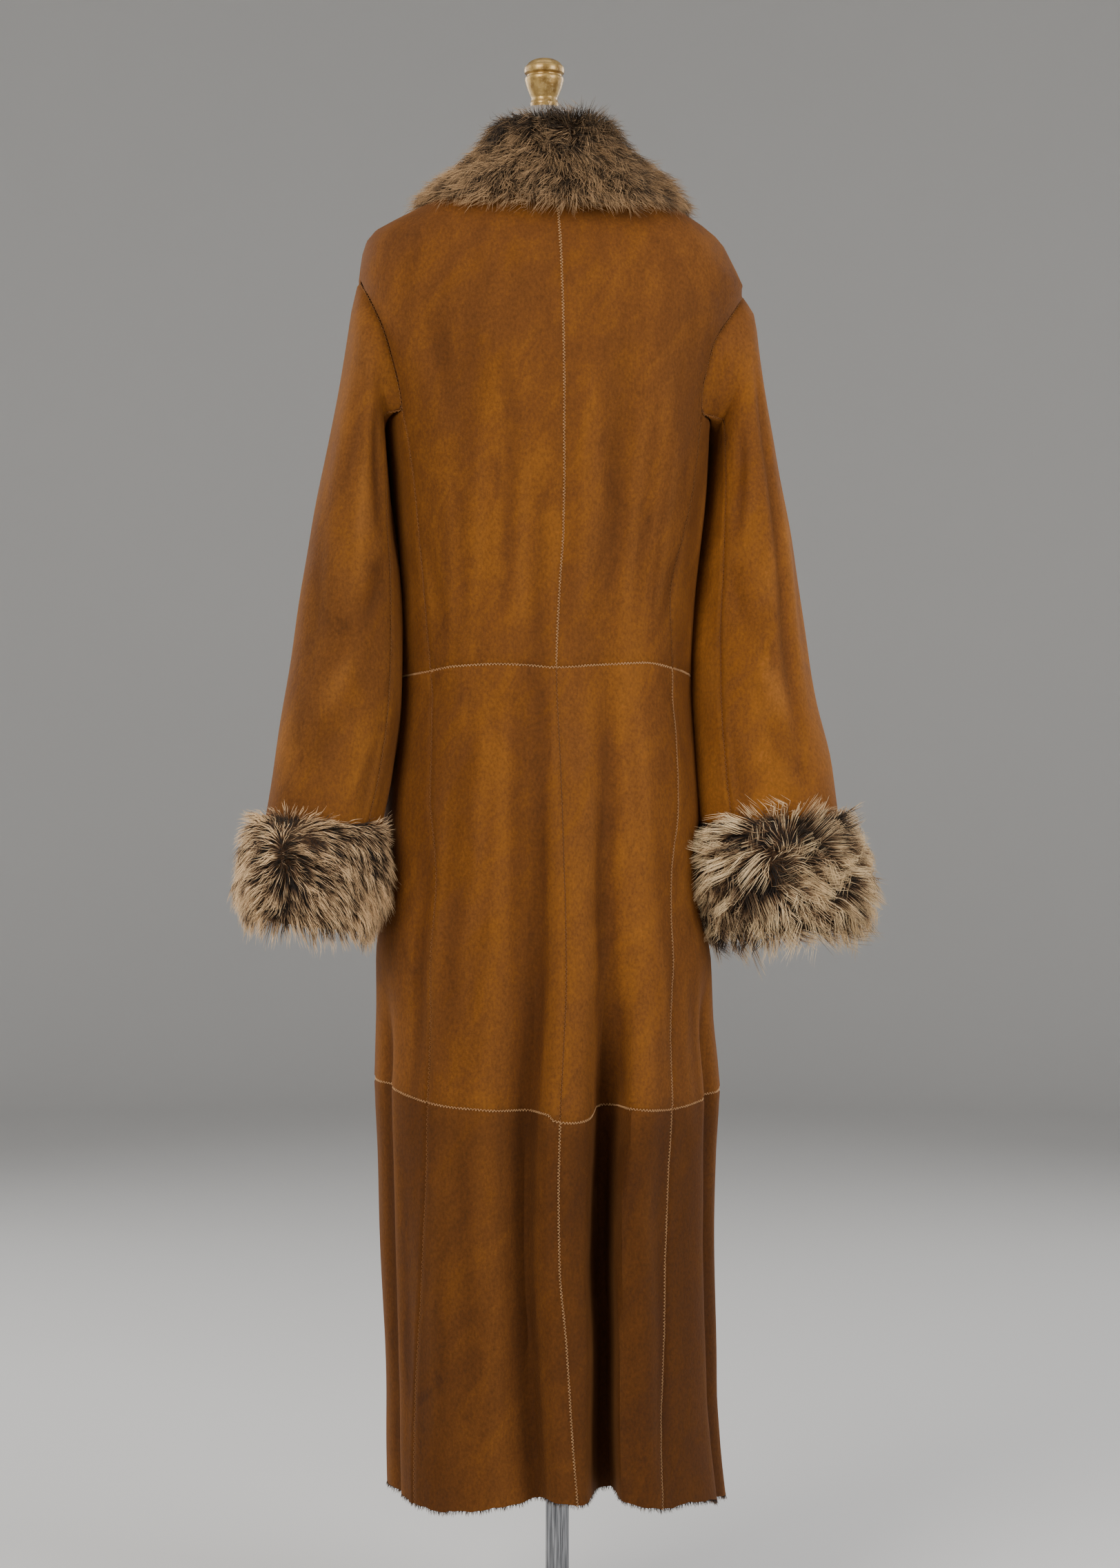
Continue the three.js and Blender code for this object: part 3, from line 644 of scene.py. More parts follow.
# How far the waist seam, the knee seam and the hem hang below a level line, round the coat
SAG = Table(
    ["angle", "waist", "knee", "hem"],
    [
        [-180, 0, 0, 0],
        [-130, 0, 3, 8],
        [-100, -1, 10, 19],
        [-85, -2, 12, 22],
        [-65, -5, 9, 19],
        [-47, -7.5, 5, 10],
        [-35, -9.5, 2, 5],
        [-25, -7.5, -3, 4],
        [-17, -5.5, -7, 0],
        [-12, -4.5, -7, -6],
        [-9.5, -4, 1, -7],
        [-3, -2, 4, -6],
        [1.5, -1.5, 1, -8],
        [3, -2, -5, -9],
        [10, -4, -6.5, -9],
        [25, -5.5, -6, 0],
        [40, -5.5, -2.5, 6],
        [60, -3, 0, 9],
        [90, -2, 0, 6],
        [130, 0, 0, 2],
        [180, 0, 0, 0],
    ],
)
SAG_AT = {"waist": (WAIST_Z, 60), "knee": (LOWER_SEAM_Z, 55), "hem": (HEM_Z, 90)}


def sag(angle, height):
    """How much lower a place lies than its height on the pattern."""
    fall = 0
    for name, (level, reach) in SAG_AT.items():
        fall = fall + SAG(name, angle) * np.exp(-(((height - level) / reach) ** 2))
    return fall


def hem_ripple(angle, height):
    near = np.exp(-(((height - HEM_Z) / 45) ** 2))
    wave = 1.2 * np.sin(np.radians(angle * 9)) + 0.9 * np.sin(np.radians(angle * 23) + 1)
    return near * (wave + 0.5 * np.sin(np.radians(angle * 61) + 2))


print("princess seams at the waist:", PRINCESS("left", WAIST_Z), PRINCESS("right", WAIST_Z))

# %% Panels
def run_length(grid, axis):
    """How far each point is along its row or column, in mm."""
    step = np.linalg.norm(np.diff(grid, axis=axis), axis=-1)
    zero = np.zeros_like(step.take([0], axis=axis))
    return np.concatenate([zero, np.cumsum(step, axis=axis)], axis=axis)


CLOTH_STEP = 5.6
ROW_STEP = 14
NEAR_SEAM = (1.4, 3.6, 7.5)


def spread_columns(angles_from, angles_to, height):
    """Shares from one seam to the other, evenly spread along the folded cloth."""
    fine = np.linspace(0, 1, 600)
    line = coat_surface(angles_from + (angles_to - angles_from) * fine, height)
    run = np.concatenate([[0], np.cumsum(np.linalg.norm(np.diff(line, axis=0), axis=1))])
    length = run[-1]
    cells = max(4, round((length - 2 * NEAR_SEAM[-1]) / CLOTH_STEP))
    inside = np.linspace(NEAR_SEAM[-1], length - NEAR_SEAM[-1], cells + 1)
    near = np.array((0, *NEAR_SEAM[:-1]))
    wanted = np.concatenate([near, inside, (length - near)[::-1]])
    return np.interp(wanted, run, fine), wanted, length


def spread_rows(low, high, seam_low, seam_high):
    """Heights from low to high, closer together beside a seam."""
    near = np.array((0, *NEAR_SEAM[:-1]))
    cells = max(2, round((high - low) / ROW_STEP))
    rows = np.linspace(low, high, cells + 1)
    if seam_low:
        rows = np.concatenate([low + near, rows[rows > low + NEAR_SEAM[-1]]])
    if seam_high:
        rows = np.concatenate([rows[rows < high - NEAR_SEAM[-1]], (high - near)[::-1]])
    return rows


def seam_dip(distance, along):
    """How far the cloth is pulled in beside a seam, with its small puckers."""
    pull = 1.25 * np.exp(-((distance / 1.9) ** 2)) - 0.5 * np.exp(-(((distance - 4.5) / 2.6) ** 2))
    ripple = np.sin(along / 2.3) + np.sin(along / 4.1 + 1.3) + 0.8 * np.sin(along / 7.7 + 0.4)
    return pull + 0.2 * ripple * np.exp(-((distance / 8) ** 2))


def body_panel(name, low, high, edge_from, edge_to, seams, materials):
    """One panel. seams says which of its edges are sewn: from, to, low, high."""
    rows = spread_rows(low, high, "low" in seams, "high" in seams)
    middle_row = rows[len(rows) // 3]
    shares, run, length = spread_columns(edge_from(middle_row), edge_to(middle_row), middle_row)
    start, end = edge_from(rows)[:, None], edge_to(rows)[:, None]
    gap = SEAM_GAP / 2 / GIRTH * np.sign(end - start)
    angle = start + gap + (end - start - 2 * gap) * shares
    height = np.broadcast_to(rows[:, None], angle.shape).copy()
    if "low" in seams:
        height[0] += SEAM_GAP / 2
    if "high" in seams:
        height[-1] -= SEAM_GAP / 2
    far = 1000.0
    columns = np.broadcast_to(run, angle.shape)
    sides = [columns if "from" in seams else far, length - columns if "to" in seams else far]
    ends = [height - low if "low" in seams else far, high - height if "high" in seams else far]
    dip = seam_dip(np.minimum(*sides), height) * ("from" in seams or "to" in seams)
    dip = dip + seam_dip(np.minimum(*ends), angle * GIRTH) * ("low" in seams or "high" in seams)
    base = coat_surface(angle, height)
    normal = coat_normal(angle, height)
    base[..., 2] -= sag(angle, height) + hem_ripple(angle, height)
    outer = base - normal * (dip + crease_depth(angle, height))[..., None]
    inner = outer - normal * WALL
    # Wear and painted shade for the suede's colour: paler ridges, painted shade in troughs, on the hem
    # right of the centre back and over the yoke
    piece = wall_object(name, outer, inner, materials, {"wear_and_shade": wear_and_shade_at(angle, height)})
    return piece, outer, normal


def declare_cloth(outer):
    """The cut of a piece of hide, in metres: as wide as its widest row and as long as its longest column.
    """
    width = run_length(outer, 1)[:, -1].max() * MM
    length = run_length(outer, 0)[-1].max() * MM
    one = np.cross(outer[1:, :-1] - outer[:-1, :-1], outer[:-1, 1:] - outer[:-1, :-1])
    two = np.cross(outer[1:, :-1] - outer[1:, 1:], outer[:-1, 1:] - outer[1:, 1:])
    return round(width, 3), round(length, 3)


def edge_lines(outer, normal):
    """The four edges of a panel, with the way out of the cloth along each."""
    cut = {"from": np.s_[:, 0], "to": np.s_[:, -1], "low": np.s_[0], "high": np.s_[-1]}
    return {edge: (outer[part], normal[part]) for edge, part in cut.items()}


def constant_edge(angle):
    return lambda rows: np.full_like(np.asarray(rows, float), angle)


TIERS = {
    "hem": (HEM_Z, LOWER_SEAM_Z),
    "skirt": (LOWER_SEAM_Z, WAIST_Z),
    "upper": (WAIST_Z, UNDERARM_Z),
}
edges = {}
for side, sign in (("left", 1), ("right", -1)):
    back_seam = lambda rows, side=side, sign=sign: sign * back_edge(side, rows)
    front_seam = lambda rows, sign=sign: sign * front_edge(rows)
    for tier, (low, high) in TIERS.items():
        looks = [SUEDE_HEM if tier == "hem" else SUEDE_BODY, WOOL]
        top = NECK_Z if tier == "upper" else high
        level = {"hem": {"high"}, "skirt": {"low", "high"}, "upper": {"low"}}[tier]
        cuts = {
            "back": (top, constant_edge(0), back_seam, level | {"from", "to"}),
            "side": (high, back_seam, front_seam, level | {"from", "to", "high"}),
            "front": (top, front_seam, constant_edge(sign * 180), level | {"from"}),
        }
        for part, (upto, first, last, seams) in cuts.items():
            name = f"{part}_{tier}_{side}"
            piece, outer, normal = body_panel(f"cloth_{name}", low, upto, first, last, seams, looks)
            belongs(piece, "suede", name)
            cut = declare_cloth(outer)
            edges[name] = edge_lines(outer, normal)
            print(name, "cut", cut, "m,", len(piece.data.vertices), "corners")

# %% [markdown]
# ## Sleeves
# Each sleeve is cut in two: a wide top strip and a narrow under strip, so that one seam runs
# down from the back of the armhole to the cuff and the other down its front. It hangs from
# the armhole's own edge and swings out a little from the body, as an empty sleeve of stiff
# hide does, with a few soft breaks where an elbow would bend.

# %% Sleeve rings
# Each row: outer x and z, inner x and z, y, half depth and lean, in mm, from the top down
SLEEVE_ROWS = {
    "left": [
        (219, 1444, 187, 1304, 4, 62, 6),
        (227, 1402, 185, 1282, 6, 65, 10),
        (235, 1352, 183, 1260, 9, 67, 13),
        (248, 1290, 180, 1230, 13, 67, 15),
        (259, 1235, 177, 1198, 17, 66, 15),
        (270, 1172, 172, 1156, 22, 66, 13),
        (281, 1100, 170, 1098, 28, 66, 9),
        (294, 1025, 172, 1025, 36, 67, 5),
        (306, 957, 182, 953, 44, 68, 2),
        (316, 895, 198, 885, 50, 68, 0),
        (323, 845, 206, 832, 52, 68, 0),
        (325, 802, 211, 788, 52, 68, 0),
    ],
    "right": [
        (209, 1448, 164, 1304, 4, 62, 6),
        (215, 1408, 163, 1282, 6, 65, 8),
        (223, 1352, 161, 1258, 9, 67, 8),
        (233, 1295, 158, 1228, 13, 67, 6),
        (243, 1240, 154, 1198, 17, 66, 4),
        (253, 1175, 149, 1156, 22, 66, 2),
        (262.5, 1100, 142, 1098, 28, 67, 0),
        (273, 1025, 139, 1025, 36, 68, 0),
        (287, 960, 140, 957, 44, 69, 0),
        (295, 895, 146, 890, 50, 70, 0),
        (300, 845, 152, 838, 52, 70, 0),
        (302, 792, 158, 784, 52, 70, 0),
    ],
}

# Breaks in a sleeve: turn and height at each end, depth, width. Turn 0 is its outer side and
# 90 degrees its back.
SLEEVE_CREASES = {
    "left": [
        (104, 1330, 122, 1190, 4.5, 11),
        (84, 1350, 92, 1130, -2.6, 12),
        (58, 1360, 66, 1180, 2.2, 12),
        (128, 1180, 84, 1060, 3.2, 11),
        (112, 1120, 62, 1010, -2.4, 11),
        (100, 1030, 52, 950, 2.6, 12),
        (130, 1010, 120, 900, 2.6, 10),
        (36, 1240, 44, 1040, 1.8, 13),
        (-80, 1300, -96, 1150, 3.2, 12),
        (-110, 1150, -60, 1030, 3.0, 12),
    ],
    "right": [
        (60, 1400, 68, 930, 4.6, 8),
        (42, 1390, 50, 980, -2.8, 9),
        (102, 1320, 120, 1190, 4.2, 11),
        (40, 1350, 50, 1150, 2.4, 11),
        (126, 1170, 88, 1060, 3.0, 11),
        (110, 1120, 70, 1000, -2.2, 11),
        (96, 1010, 60, 930, 2.8, 12),
        (132, 1010, 124, 900, 2.4, 10),
        (-84, 1300, -98, 1150, 3.2, 12),
        (-112, 1140, -64, 1020, 3.0, 12),
    ],
}


# Where a sleeve lies against the body its inner front is pressed fuller, by so many mm
PRESSED = {"left": 2.5, "right": 9}
SLEEVE_STEP = 4.6
# Turns along an oval are counted this much longer, so that breaks keep their slant
AROUND = 1.15


def pressed(side, turn, height):
    """How far the sleeve stands out beyond its oval, at the inner front quarter."""
    aside = (turn + 145 + 180) % 360 - 180
    between = smoothstep(height, 915, 960) * (1 - smoothstep(height, 1180, 1260))
    return PRESSED[side] * between * np.exp(-((aside / 34) ** 2))


def curve_read(keys, values, at):
    """Rows of values read at other keys, along smooth curves that never overshoot."""
    table = Table(["key", *range(values.shape[1])], np.column_stack([keys, values]))
    return np.stack([table(i, at) for i in range(values.shape[1])], axis=-1)


def oval(rows, sign, turns, grow=0.0):
    """Oval rings: one for each row of the sleeve's measures, with a point at each turn."""
    out_x, out_z, in_x, in_z, y, half_depth, lean = np.asarray(rows, float).T[:, :, None]
    out = np.stack([sign * out_x, y, out_z], -1)
    within = np.stack([sign * in_x, y, in_z], -1)
    across = unit(out - within)
    half_width = np.linalg.norm(out - within, axis=-1) / 2 + grow
    ring = (out + within) / 2 + across * (half_width * np.cos(turns))[..., None]
    ring[..., 0] += sign * lean * np.minimum(0, np.sin(turns))
    ring[..., 1] += (half_depth + grow) * np.sin(turns)
    return ring


def armhole_edge(side, sign, under):
    """A fine line of points along the armhole: over the shoulder, or under the arm."""
    if under:
        angle = np.linspace(FRONT_SEAM_ANGLE, float(ARMHOLE(side, 0)), 120)
        return coat_surface(sign * angle, np.full_like(angle, UNDERARM_Z))
    share = np.linspace(0, 1, 240)
    height = UNDERARM_Z + share * (SHOULDER_TIP_Z - UNDERARM_Z)
    up_back = coat_surface(sign * ARMHOLE(side, share), height)
    down_front = coat_surface(sign * ARMHOLE("front", share), height)[::-1]
    return np.concatenate([up_back, down_front[1:]])


def grid_normals(grid, outwards_from):
    """Unit normals of a grid, all pointing away from a middle line of one point a row."""
    normal = unit(np.cross(np.gradient(grid, axis=0), np.gradient(grid, axis=1)))
    away = grid - outwards_from[:, None]
    flip = np.sign((normal * away).sum(axis=-1).mean())
    return normal * flip


def sleeve_grid(side, sign, under):
    """The outside of one strip of a sleeve, its rows' distances, turns and middle line."""
    whole = np.concatenate([armhole_edge(side, sign, False), armhole_edge(side, sign, True)])
    middle, half = (whole.max(0) + whole.min(0)) / 2, (whole.max(0) - whole.min(0)) / 2
    line = armhole_edge(side, sign, under)
    run = run_length(line[None], 1)[0]
    cells = max(4, round((run[-1] - 2 * NEAR_SEAM[-1]) / SLEEVE_STEP))
    near = np.array((0, *NEAR_SEAM[:-1]))
    even = np.linspace(NEAR_SEAM[-1], run[-1] - NEAR_SEAM[-1], cells + 1)
    wanted = np.concatenate([near, even, (run[-1] - near)[::-1]])
    edge = np.stack([np.interp(wanted, run, line[:, i]) for i in range(3)], -1)
    turns = np.arctan2((edge[:, 1] - middle[1]) / half[1], (edge[:, 2] - middle[2]) / half[2])
    rings = np.concatenate([edge[None], oval(SLEEVE_ROWS[side], sign, turns)])
    keys = run_length(rings.mean(axis=1)[None], 1)[0]
    rows = spread_rows(0, keys[-1], True, False)
    grid = curve_read(keys, rings.reshape(len(rings), -1), rows).reshape(len(rows), -1, 3)
    middles = oval(SLEEVE_ROWS[side], sign, np.array([0, np.pi])).mean(axis=1)
    line = curve_read(keys, np.concatenate([whole.mean(axis=0)[None], middles]), rows)
    return grid, np.degrees(turns), rows, line


def sleeve_crease(side, turn, height):
    """Depth of the breaks and a slow waviness over a sleeve."""
    around = turn * AROUND
    depth = np.zeros(np.broadcast(turn, height).shape)
    for start, start_z, end, end_z, deep, width in SLEEVE_CREASES[side]:
        line = np.array([(end - start) * AROUND, end_z - start_z])
        length = np.linalg.norm(line)
        run = line / length
        aside, up = around - start * AROUND, height - start_z
        share = np.clip((aside * run[0] + up * run[1]) / length, 0, 1)
        off_line = aside * run[1] - up * run[0]
        depth = depth + deep * np.sin(np.pi * share) ** 0.8 * np.exp(-((off_line / width) ** 2))
    for number in range(6):
        direction = 2.4 * number + 1
        phase = (around * math.cos(direction) + 0.6 * height * math.sin(direction)) / (58 + 15 * number)
        depth = depth + 0.34 * np.sin(2 * np.pi * phase + number)
    return depth


for side, sign in (("left", 1), ("right", -1)):
    for part, under in (("top", False), ("under", True)):
        grid, turns, rows, middle = sleeve_grid(side, sign, under)
        normal = grid_normals(grid, middle)
        across, down = run_length(grid, 1), rows[:, None]
        to_seam = np.minimum(across, across[:, -1:] - across)
        crease = sleeve_crease(side, turns[None], grid[..., 2])
        calm = smoothstep(down, 0, 40) * smoothstep(to_seam, 0, 12)
        dip = seam_dip(to_seam, down) + seam_dip(np.broadcast_to(down, to_seam.shape), across)
        fuller = pressed(side, turns[None], grid[..., 2])
        outer = grid - normal * (dip + crease * calm - fuller)[..., None]
        inner = outer - normal * WALL
        # Painted shade in the troughs of the breaks, and paler ridges, partly rubbed nap and partly painted
        # highlight
        proud = np.clip(-crease * calm / 4, -1, 1)
        name = f"sleeve_{part}_{side}"
        piece = wall_object(f"cloth_{name}", outer, inner, [SUEDE_SLEEVES[side], WOOL], {"wear_and_shade": proud})
        belongs(piece, "suede", name)
        cut = declare_cloth(outer)
        edges[name] = edge_lines(outer, normal)
        print(name, "cut", cut, "m,", grid.shape[:2], "points")

# %% [markdown]
# ## The dress form and its stand
# The form is a limbless torso covered in plain woven cloth, smooth and whole, and just clear
# of the coat. A grey cap closes its neck and carries a turned wooden finial in rubbed gold
# paint. Below, a chromed tube stands in a heavy round foot.

# %% Turned pieces
FORM_X = 14
FORM_NECK_TOP_Z = 1645
FORM_BOTTOM_Z = 800
GAP = 0.3


CRISP_ANGLE = 35
CORNER_POINTS = 6


def turned(name, profile, segments, materials, x=0.0):
    """A piece turned on a lathe, from rows of radius and z."""
    radius, z = np.array(profile, float).T
    turn = np.linspace(0, 2 * np.pi, segments, endpoint=False)
    ring = np.stack([np.outer(radius, np.cos(turn)) + x, np.outer(radius, np.sin(turn)),
                     np.repeat(z[:, None], segments, axis=1)], -1)
    index = np.arange(len(profile) * segments).reshape(len(profile), segments)
    index = np.concatenate([index, index[:, :1]], axis=1)
    quads = np.stack([index[:-1, :-1], index[:-1, 1:], index[1:, 1:], index[1:, :-1]], -1).reshape(-1, 4)
    points = np.concatenate([ring.reshape(-1, 3), [[x, 0, z[0]], [x, 0, z[-1]]]])
    low, high = len(points) - 2, len(points) - 1
    fan_low = np.stack([index[0, 1:], index[0, :-1], np.full(segments, low)], -1)
    fan_high = np.stack([index[-1, :-1], index[-1, 1:], np.full(segments, high)], -1)
    mesh = bpy.data.meshes.new(name)
    faces = quads.tolist() + fan_low.tolist() + fan_high.tolist()
    mesh.from_pydata((points * MM).tolist(), [], faces)
    for material in materials:
        mesh.materials.append(material)
    mesh.shade_smooth()
    mesh.set_sharp_from_angle(angle=math.radians(CRISP_ANGLE))
    return placed(name, mesh)


def rounded(corners):
    """A profile through corners, each rounded to its own radius in mm."""
    line = []
    for i, (r, z, radius) in enumerate(corners):
        here = np.array((r, z), float)
        if not radius or i in (0, len(corners) - 1):
            line.append((r, z))
            continue
        before = unit(np.array(corners[i - 1][:2], float) - here)
        after = unit(np.array(corners[i + 1][:2], float) - here)
        for share in np.linspace(0, 1, CORNER_POINTS):
            start, end = here + before * radius, here + after * radius
            point = (1 - share) ** 2 * start + 2 * share * (1 - share) * here + share**2 * end
            line.append((float(point[0]), float(point[1])))
    return line


def gold_paint():
    material, shader, place = start_material("rubbed_gold")
    cloud = noise(place, 90, 4, 0.6)
    turning = noise(place * (0.4, 0.4, 6.0), 120, 3, 0.6)
    rub = noise(place, 420, 3, 0.7).spread(0.5, 0.72)
    colour = mixed(cloud.spread(0.3, 0.7), srgb(142, 108, 52), srgb(196, 162, 96))
    colour = mixed(rub * 0.35, colour, srgb(226, 200, 148))
    set_shader(shader, Base_Color=colour * (0.86 + 0.22 * turning), Metallic=0.55,
               Roughness=0.26 + 0.2 * cloud, Normal=bump(turning, 0.0004, 0.35), Coat_Weight=0.25)
    return material


def grey_paint():
    material, shader, place = start_material("cap_paint")
    cloud = noise(place, 60, 3)
    colour = mixed(cloud, srgb(128, 124, 120), srgb(168, 164, 160))
    set_shader(shader, Base_Color=colour, Roughness=0.4 + 0.15 * cloud, Metallic=0.2,
               Normal=bump(noise(place, 700, 2), 0.0002, 0.3))
    return material


def chrome():
    material, shader, place = start_material("chromed_tube")
    streak = noise(place * (1.0, 1.0, 0.02), 900, 3, 0.6)
    dull = noise(place * (1.0, 1.0, 0.3), 60, 3)
    colour = mixed(streak.spread(0.35, 0.7), srgb(84, 86, 90), srgb(170, 172, 176))
    set_shader(shader, Base_Color=colour, Metallic=1.0, Roughness=0.12 + 0.14 * dull)
    return material


def foot_paint():
    material, shader, place = start_material("foot_paint")
    cloud = noise(place, 14, 3)
    pebble = noise(place, 900, 2)
    dust = noise(place, 45, 5, 0.65).spread(0.55, 0.8)
    colour = mixed(cloud, srgb(36, 36, 38), srgb(56, 56, 58))
    colour = mixed(dust * 0.25, colour, srgb(120, 116, 110))
    set_shader(shader, Base_Color=colour, Roughness=0.42 + 0.2 * cloud, Normal=bump(pebble, 0.0005, 0.5),
               Coat_Weight=0.1)
    return material


WEAVE_TURNS = 3490.0  # radians a metre, so a thread every 0.9 mm


def woven(name, dark, light):
    """Plain weave: threads over and under each other."""
    material, shader, place = start_material(name)
    tree = material.node_tree
    parts = add_node(tree, "ShaderNodeSeparateXYZ", None, {0: place + noise(place, 60, 2) * 0.002})
    node = parts.socket.node
    x, y, z = (Wire(node.outputs[i]) for i in range(3))
    warp = ((x + y) * WEAVE_TURNS).math("SINE")
    weft = (z * WEAVE_TURNS).math("SINE")
    weave = warp * weft * 0.5 + 0.5
    slub = noise(place * (1.0, 1.0, 12.0), 60, 3)
    colour = mixed(weave * 0.6 + slub * 0.4, dark, light)
    set_shader(shader, Base_Color=colour, Roughness=0.85, Normal=bump(weave, 0.0004, 0.6))
    return material


BASE_RADIUS, HUB_TOP_Z, POLE_RADIUS = 190, 70, 12.5
CAP_FOOT_Z, CAP_TOP_Z = FORM_NECK_TOP_Z + GAP, 1660
FINIAL_FOOT_Z = CAP_TOP_Z + GAP
cap = turned("stand_neck_cap", rounded([
    (36, CAP_FOOT_Z, 0), (37, 1647.5, 1), (35.6, 1652, 2), (30, 1656, 2), (22, 1658.6, 2),
    (14, CAP_TOP_Z, 0),
]), 72, [grey_paint()], FORM_X)
belongs(cap, "neck_cap", "form_neck_cap")
finial = turned("stand_finial", rounded([
    (14.6, FINIAL_FOOT_Z, 0), (15.2, 1664, 1), (14.2, 1667, 1), (13.8, 1669.5, 1), (15.6, 1674, 2),
    (18.8, 1682, 3), (20.8, 1689.5, 1.5), (20.4, 1692, 0.8), (18.2, 1692.9, 0.6), (18.4, 1694.6, 0.6),
    (21, 1696.2, 0.8), (21.5, 1700, 1.4), (20.8, 1703.2, 0.9), (19.2, 1704.4, 0.8), (17.2, 1707.4, 1.4),
    (12.6, 1710.4, 2), (6.6, 1712.1, 2), (2, 1712.6, 0),
]), 64, [gold_paint()], FORM_X)
belongs(finial, "finial", "form_finial")
pole = turned("stand_tube", [
    (POLE_RADIUS, HUB_TOP_Z + GAP), (POLE_RADIUS, 300), (POLE_RADIUS, FORM_BOTTOM_Z - GAP),
], 64, [chrome()])
belongs(pole, "pole", "stand_pole")
foot = turned("stand_foot", rounded([
    (187, 0, 0), (BASE_RADIUS, 3, 1), (BASE_RADIUS, 10, 2), (185, 15, 3), (168, 18.5, 6), (60, 25, 10),
    (32, 30, 4), (26, 36, 4), (24, 60, 4), (21, HUB_TOP_Z, 0),
]), 96, [foot_paint()])
belongs(foot, "base", "stand_base")

# The torso is slimmer by FORM_TRIM between these heights, so the shoulder seams stay clear of it
FORM_TRIM = 6
TRIM_FROM_Z, TRIM_FULL_Z = 1330, 1420
TRIM_FADES_Z, TRIM_END_Z = 1570, 1596


def trimmed_torso():
    """The solid torso, a few millimetres slimmer at the shoulders."""
    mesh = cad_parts["form_torso"].data.copy()
    mesh.name = "form_body"
    joined = bmesh.new()
    joined.from_mesh(mesh)
    bmesh.ops.remove_doubles(joined, verts=joined.verts, dist=1e-5)
    joined.normal_update()
    for vertex in joined.verts:
        up = vertex.co.z / MM
        share = smoothstep(up, TRIM_FROM_Z, TRIM_FULL_Z) * smoothstep(up, TRIM_END_Z, TRIM_FADES_Z)
        vertex.co -= vertex.normal * float(share) * FORM_TRIM * MM
    joined.to_mesh(mesh)
    joined.free()
    mesh.shade_smooth()
    mesh.materials.clear()
    mesh.materials.append(woven("form_cloth", srgb(128, 122, 110), srgb(176, 170, 158)))
    return placed("form_body", mesh)


torso = trimmed_torso()
belongs(torso, "form_cloth", "form_torso")
print("stand pieces:", [p.name for p in (cap, finial, pole, foot)])

# %% [markdown]
# ## Floor and light
# A plain pale floor curves up into a wall all round, so that nothing competes with the coat
# from any side. A large soft lamp high on the left of the camera models the folds and a weaker
# one fills from the right. A faint one hangs overhead, and four more stand at the sides and
# beyond the coat, so that its front and sides can be looked at as well.

# %% Studio
PAPER_FLAT, PAPER_CURVE, PAPER_TOP = 5.6, 1.5, 6.5
PAPER_TURNS = 72


def sweep():
    """A round floor that curves up into a wall, so that it is there from every side."""
    rise = np.linspace(0, math.pi / 2, 12)
    line = [(0.0, 0.0)]
    line += [(PAPER_FLAT + PAPER_CURVE * math.sin(t), PAPER_CURVE * (1 - math.cos(t))) for t in rise]
    line += [(PAPER_FLAT + PAPER_CURVE, PAPER_TOP)]
    turns = np.linspace(0, 2 * math.pi, PAPER_TURNS, endpoint=False)
    points = [(away * math.cos(t), away * math.sin(t), up) for away, up in line[1:] for t in turns]
    points.append((0.0, 0.0, 0.0))
    ring = [(i, (i + 1) % PAPER_TURNS) for i in range(PAPER_TURNS)]
    faces = [(a, b, len(points) - 1) for a, b in ring]
    for step in range(len(line) - 2):
        low, high = step * PAPER_TURNS, (step + 1) * PAPER_TURNS
        faces += [(low + b, low + a, high + a, high + b) for a, b in ring]
    mesh = bpy.data.meshes.new("studio_sweep")
    mesh.from_pydata(points, [], faces)
    mesh.shade_smooth()
    material, shader, place = start_material("studio_paper")
    tone = noise(place, 1.5, 2) * 0.02 + 0.78
    parts = {0: tone, 1: tone * 0.985, 2: tone * 0.96}
    colour = add_node(material.node_tree, "ShaderNodeCombineXYZ", None, parts)
    set_shader(shader, Base_Color=colour, Roughness=0.9, Specular_IOR_Level=0.1)
    mesh.materials.append(material)
    piece = placed("studio_sweep", mesh)
    return piece


def lamp(name, azimuth, height, distance, size, power, aimed_at, colour=(1, 1, 1)):
    """A flat lamp at an azimuth from the camera's own, in degrees, + to its right."""
    data = bpy.data.lights.new(name, "AREA")
    data.shape = "RECTANGLE"
    data.size, data.size_y = size
    data.energy = power
    data.color = colour
    piece = placed(name, data)
    turn = CAMERA_TURN + math.radians(azimuth)
    piece.location = (distance * math.sin(turn), -distance * math.cos(turn), height)
    aim = np.array((0, 0, aimed_at)) - np.array(piece.location)
    piece.rotation_euler = (
        math.atan2(math.hypot(aim[0], aim[1]), -aim[2]),
        0,
        math.atan2(aim[1], aim[0]) - math.pi / 2,
    )
    return piece


# Each lamp: azimuth, height and distance in metres, width and height of its face, watts, the
# height on the coat that it is aimed at, and a tint for the two that have one
LAMPS = {
    "key": (-30, 2.6, 2.9, (1.3, 1.6), 81, 1.15, (1.0, 0.96, 0.9)),
    "fill": (50, 2.0, 3.0, (1.4, 1.8), 57, 1.15, (0.98, 0.98, 1.0)),
    "top": (0, 3.6, 0.6, (2.0, 2.0), 14, 0.95),
    "far_left": (-108, 2.0, 2.5, (1.2, 2.0), 20, 0.95),
    "far_right": (108, 2.0, 2.5, (1.2, 2.0), 14, 0.95),
    "front_left": (-138, 2.2, 3.6, (1.2, 1.6), 30, 0.95),
    "front_right": (138, 2.2, 3.6, (1.2, 1.6), 30, 0.95),
}
sweep()
for name, facts in LAMPS.items():
    lamp(name, *facts)
world = bpy.data.worlds.new("studio_air")
world.use_nodes = True
world.node_tree.nodes["Background"].inputs["Color"].default_value = (0.8, 0.84, 0.9, 1)
world.node_tree.nodes["Background"].inputs["Strength"].default_value = 0.18
bpy.context.scene.world = world

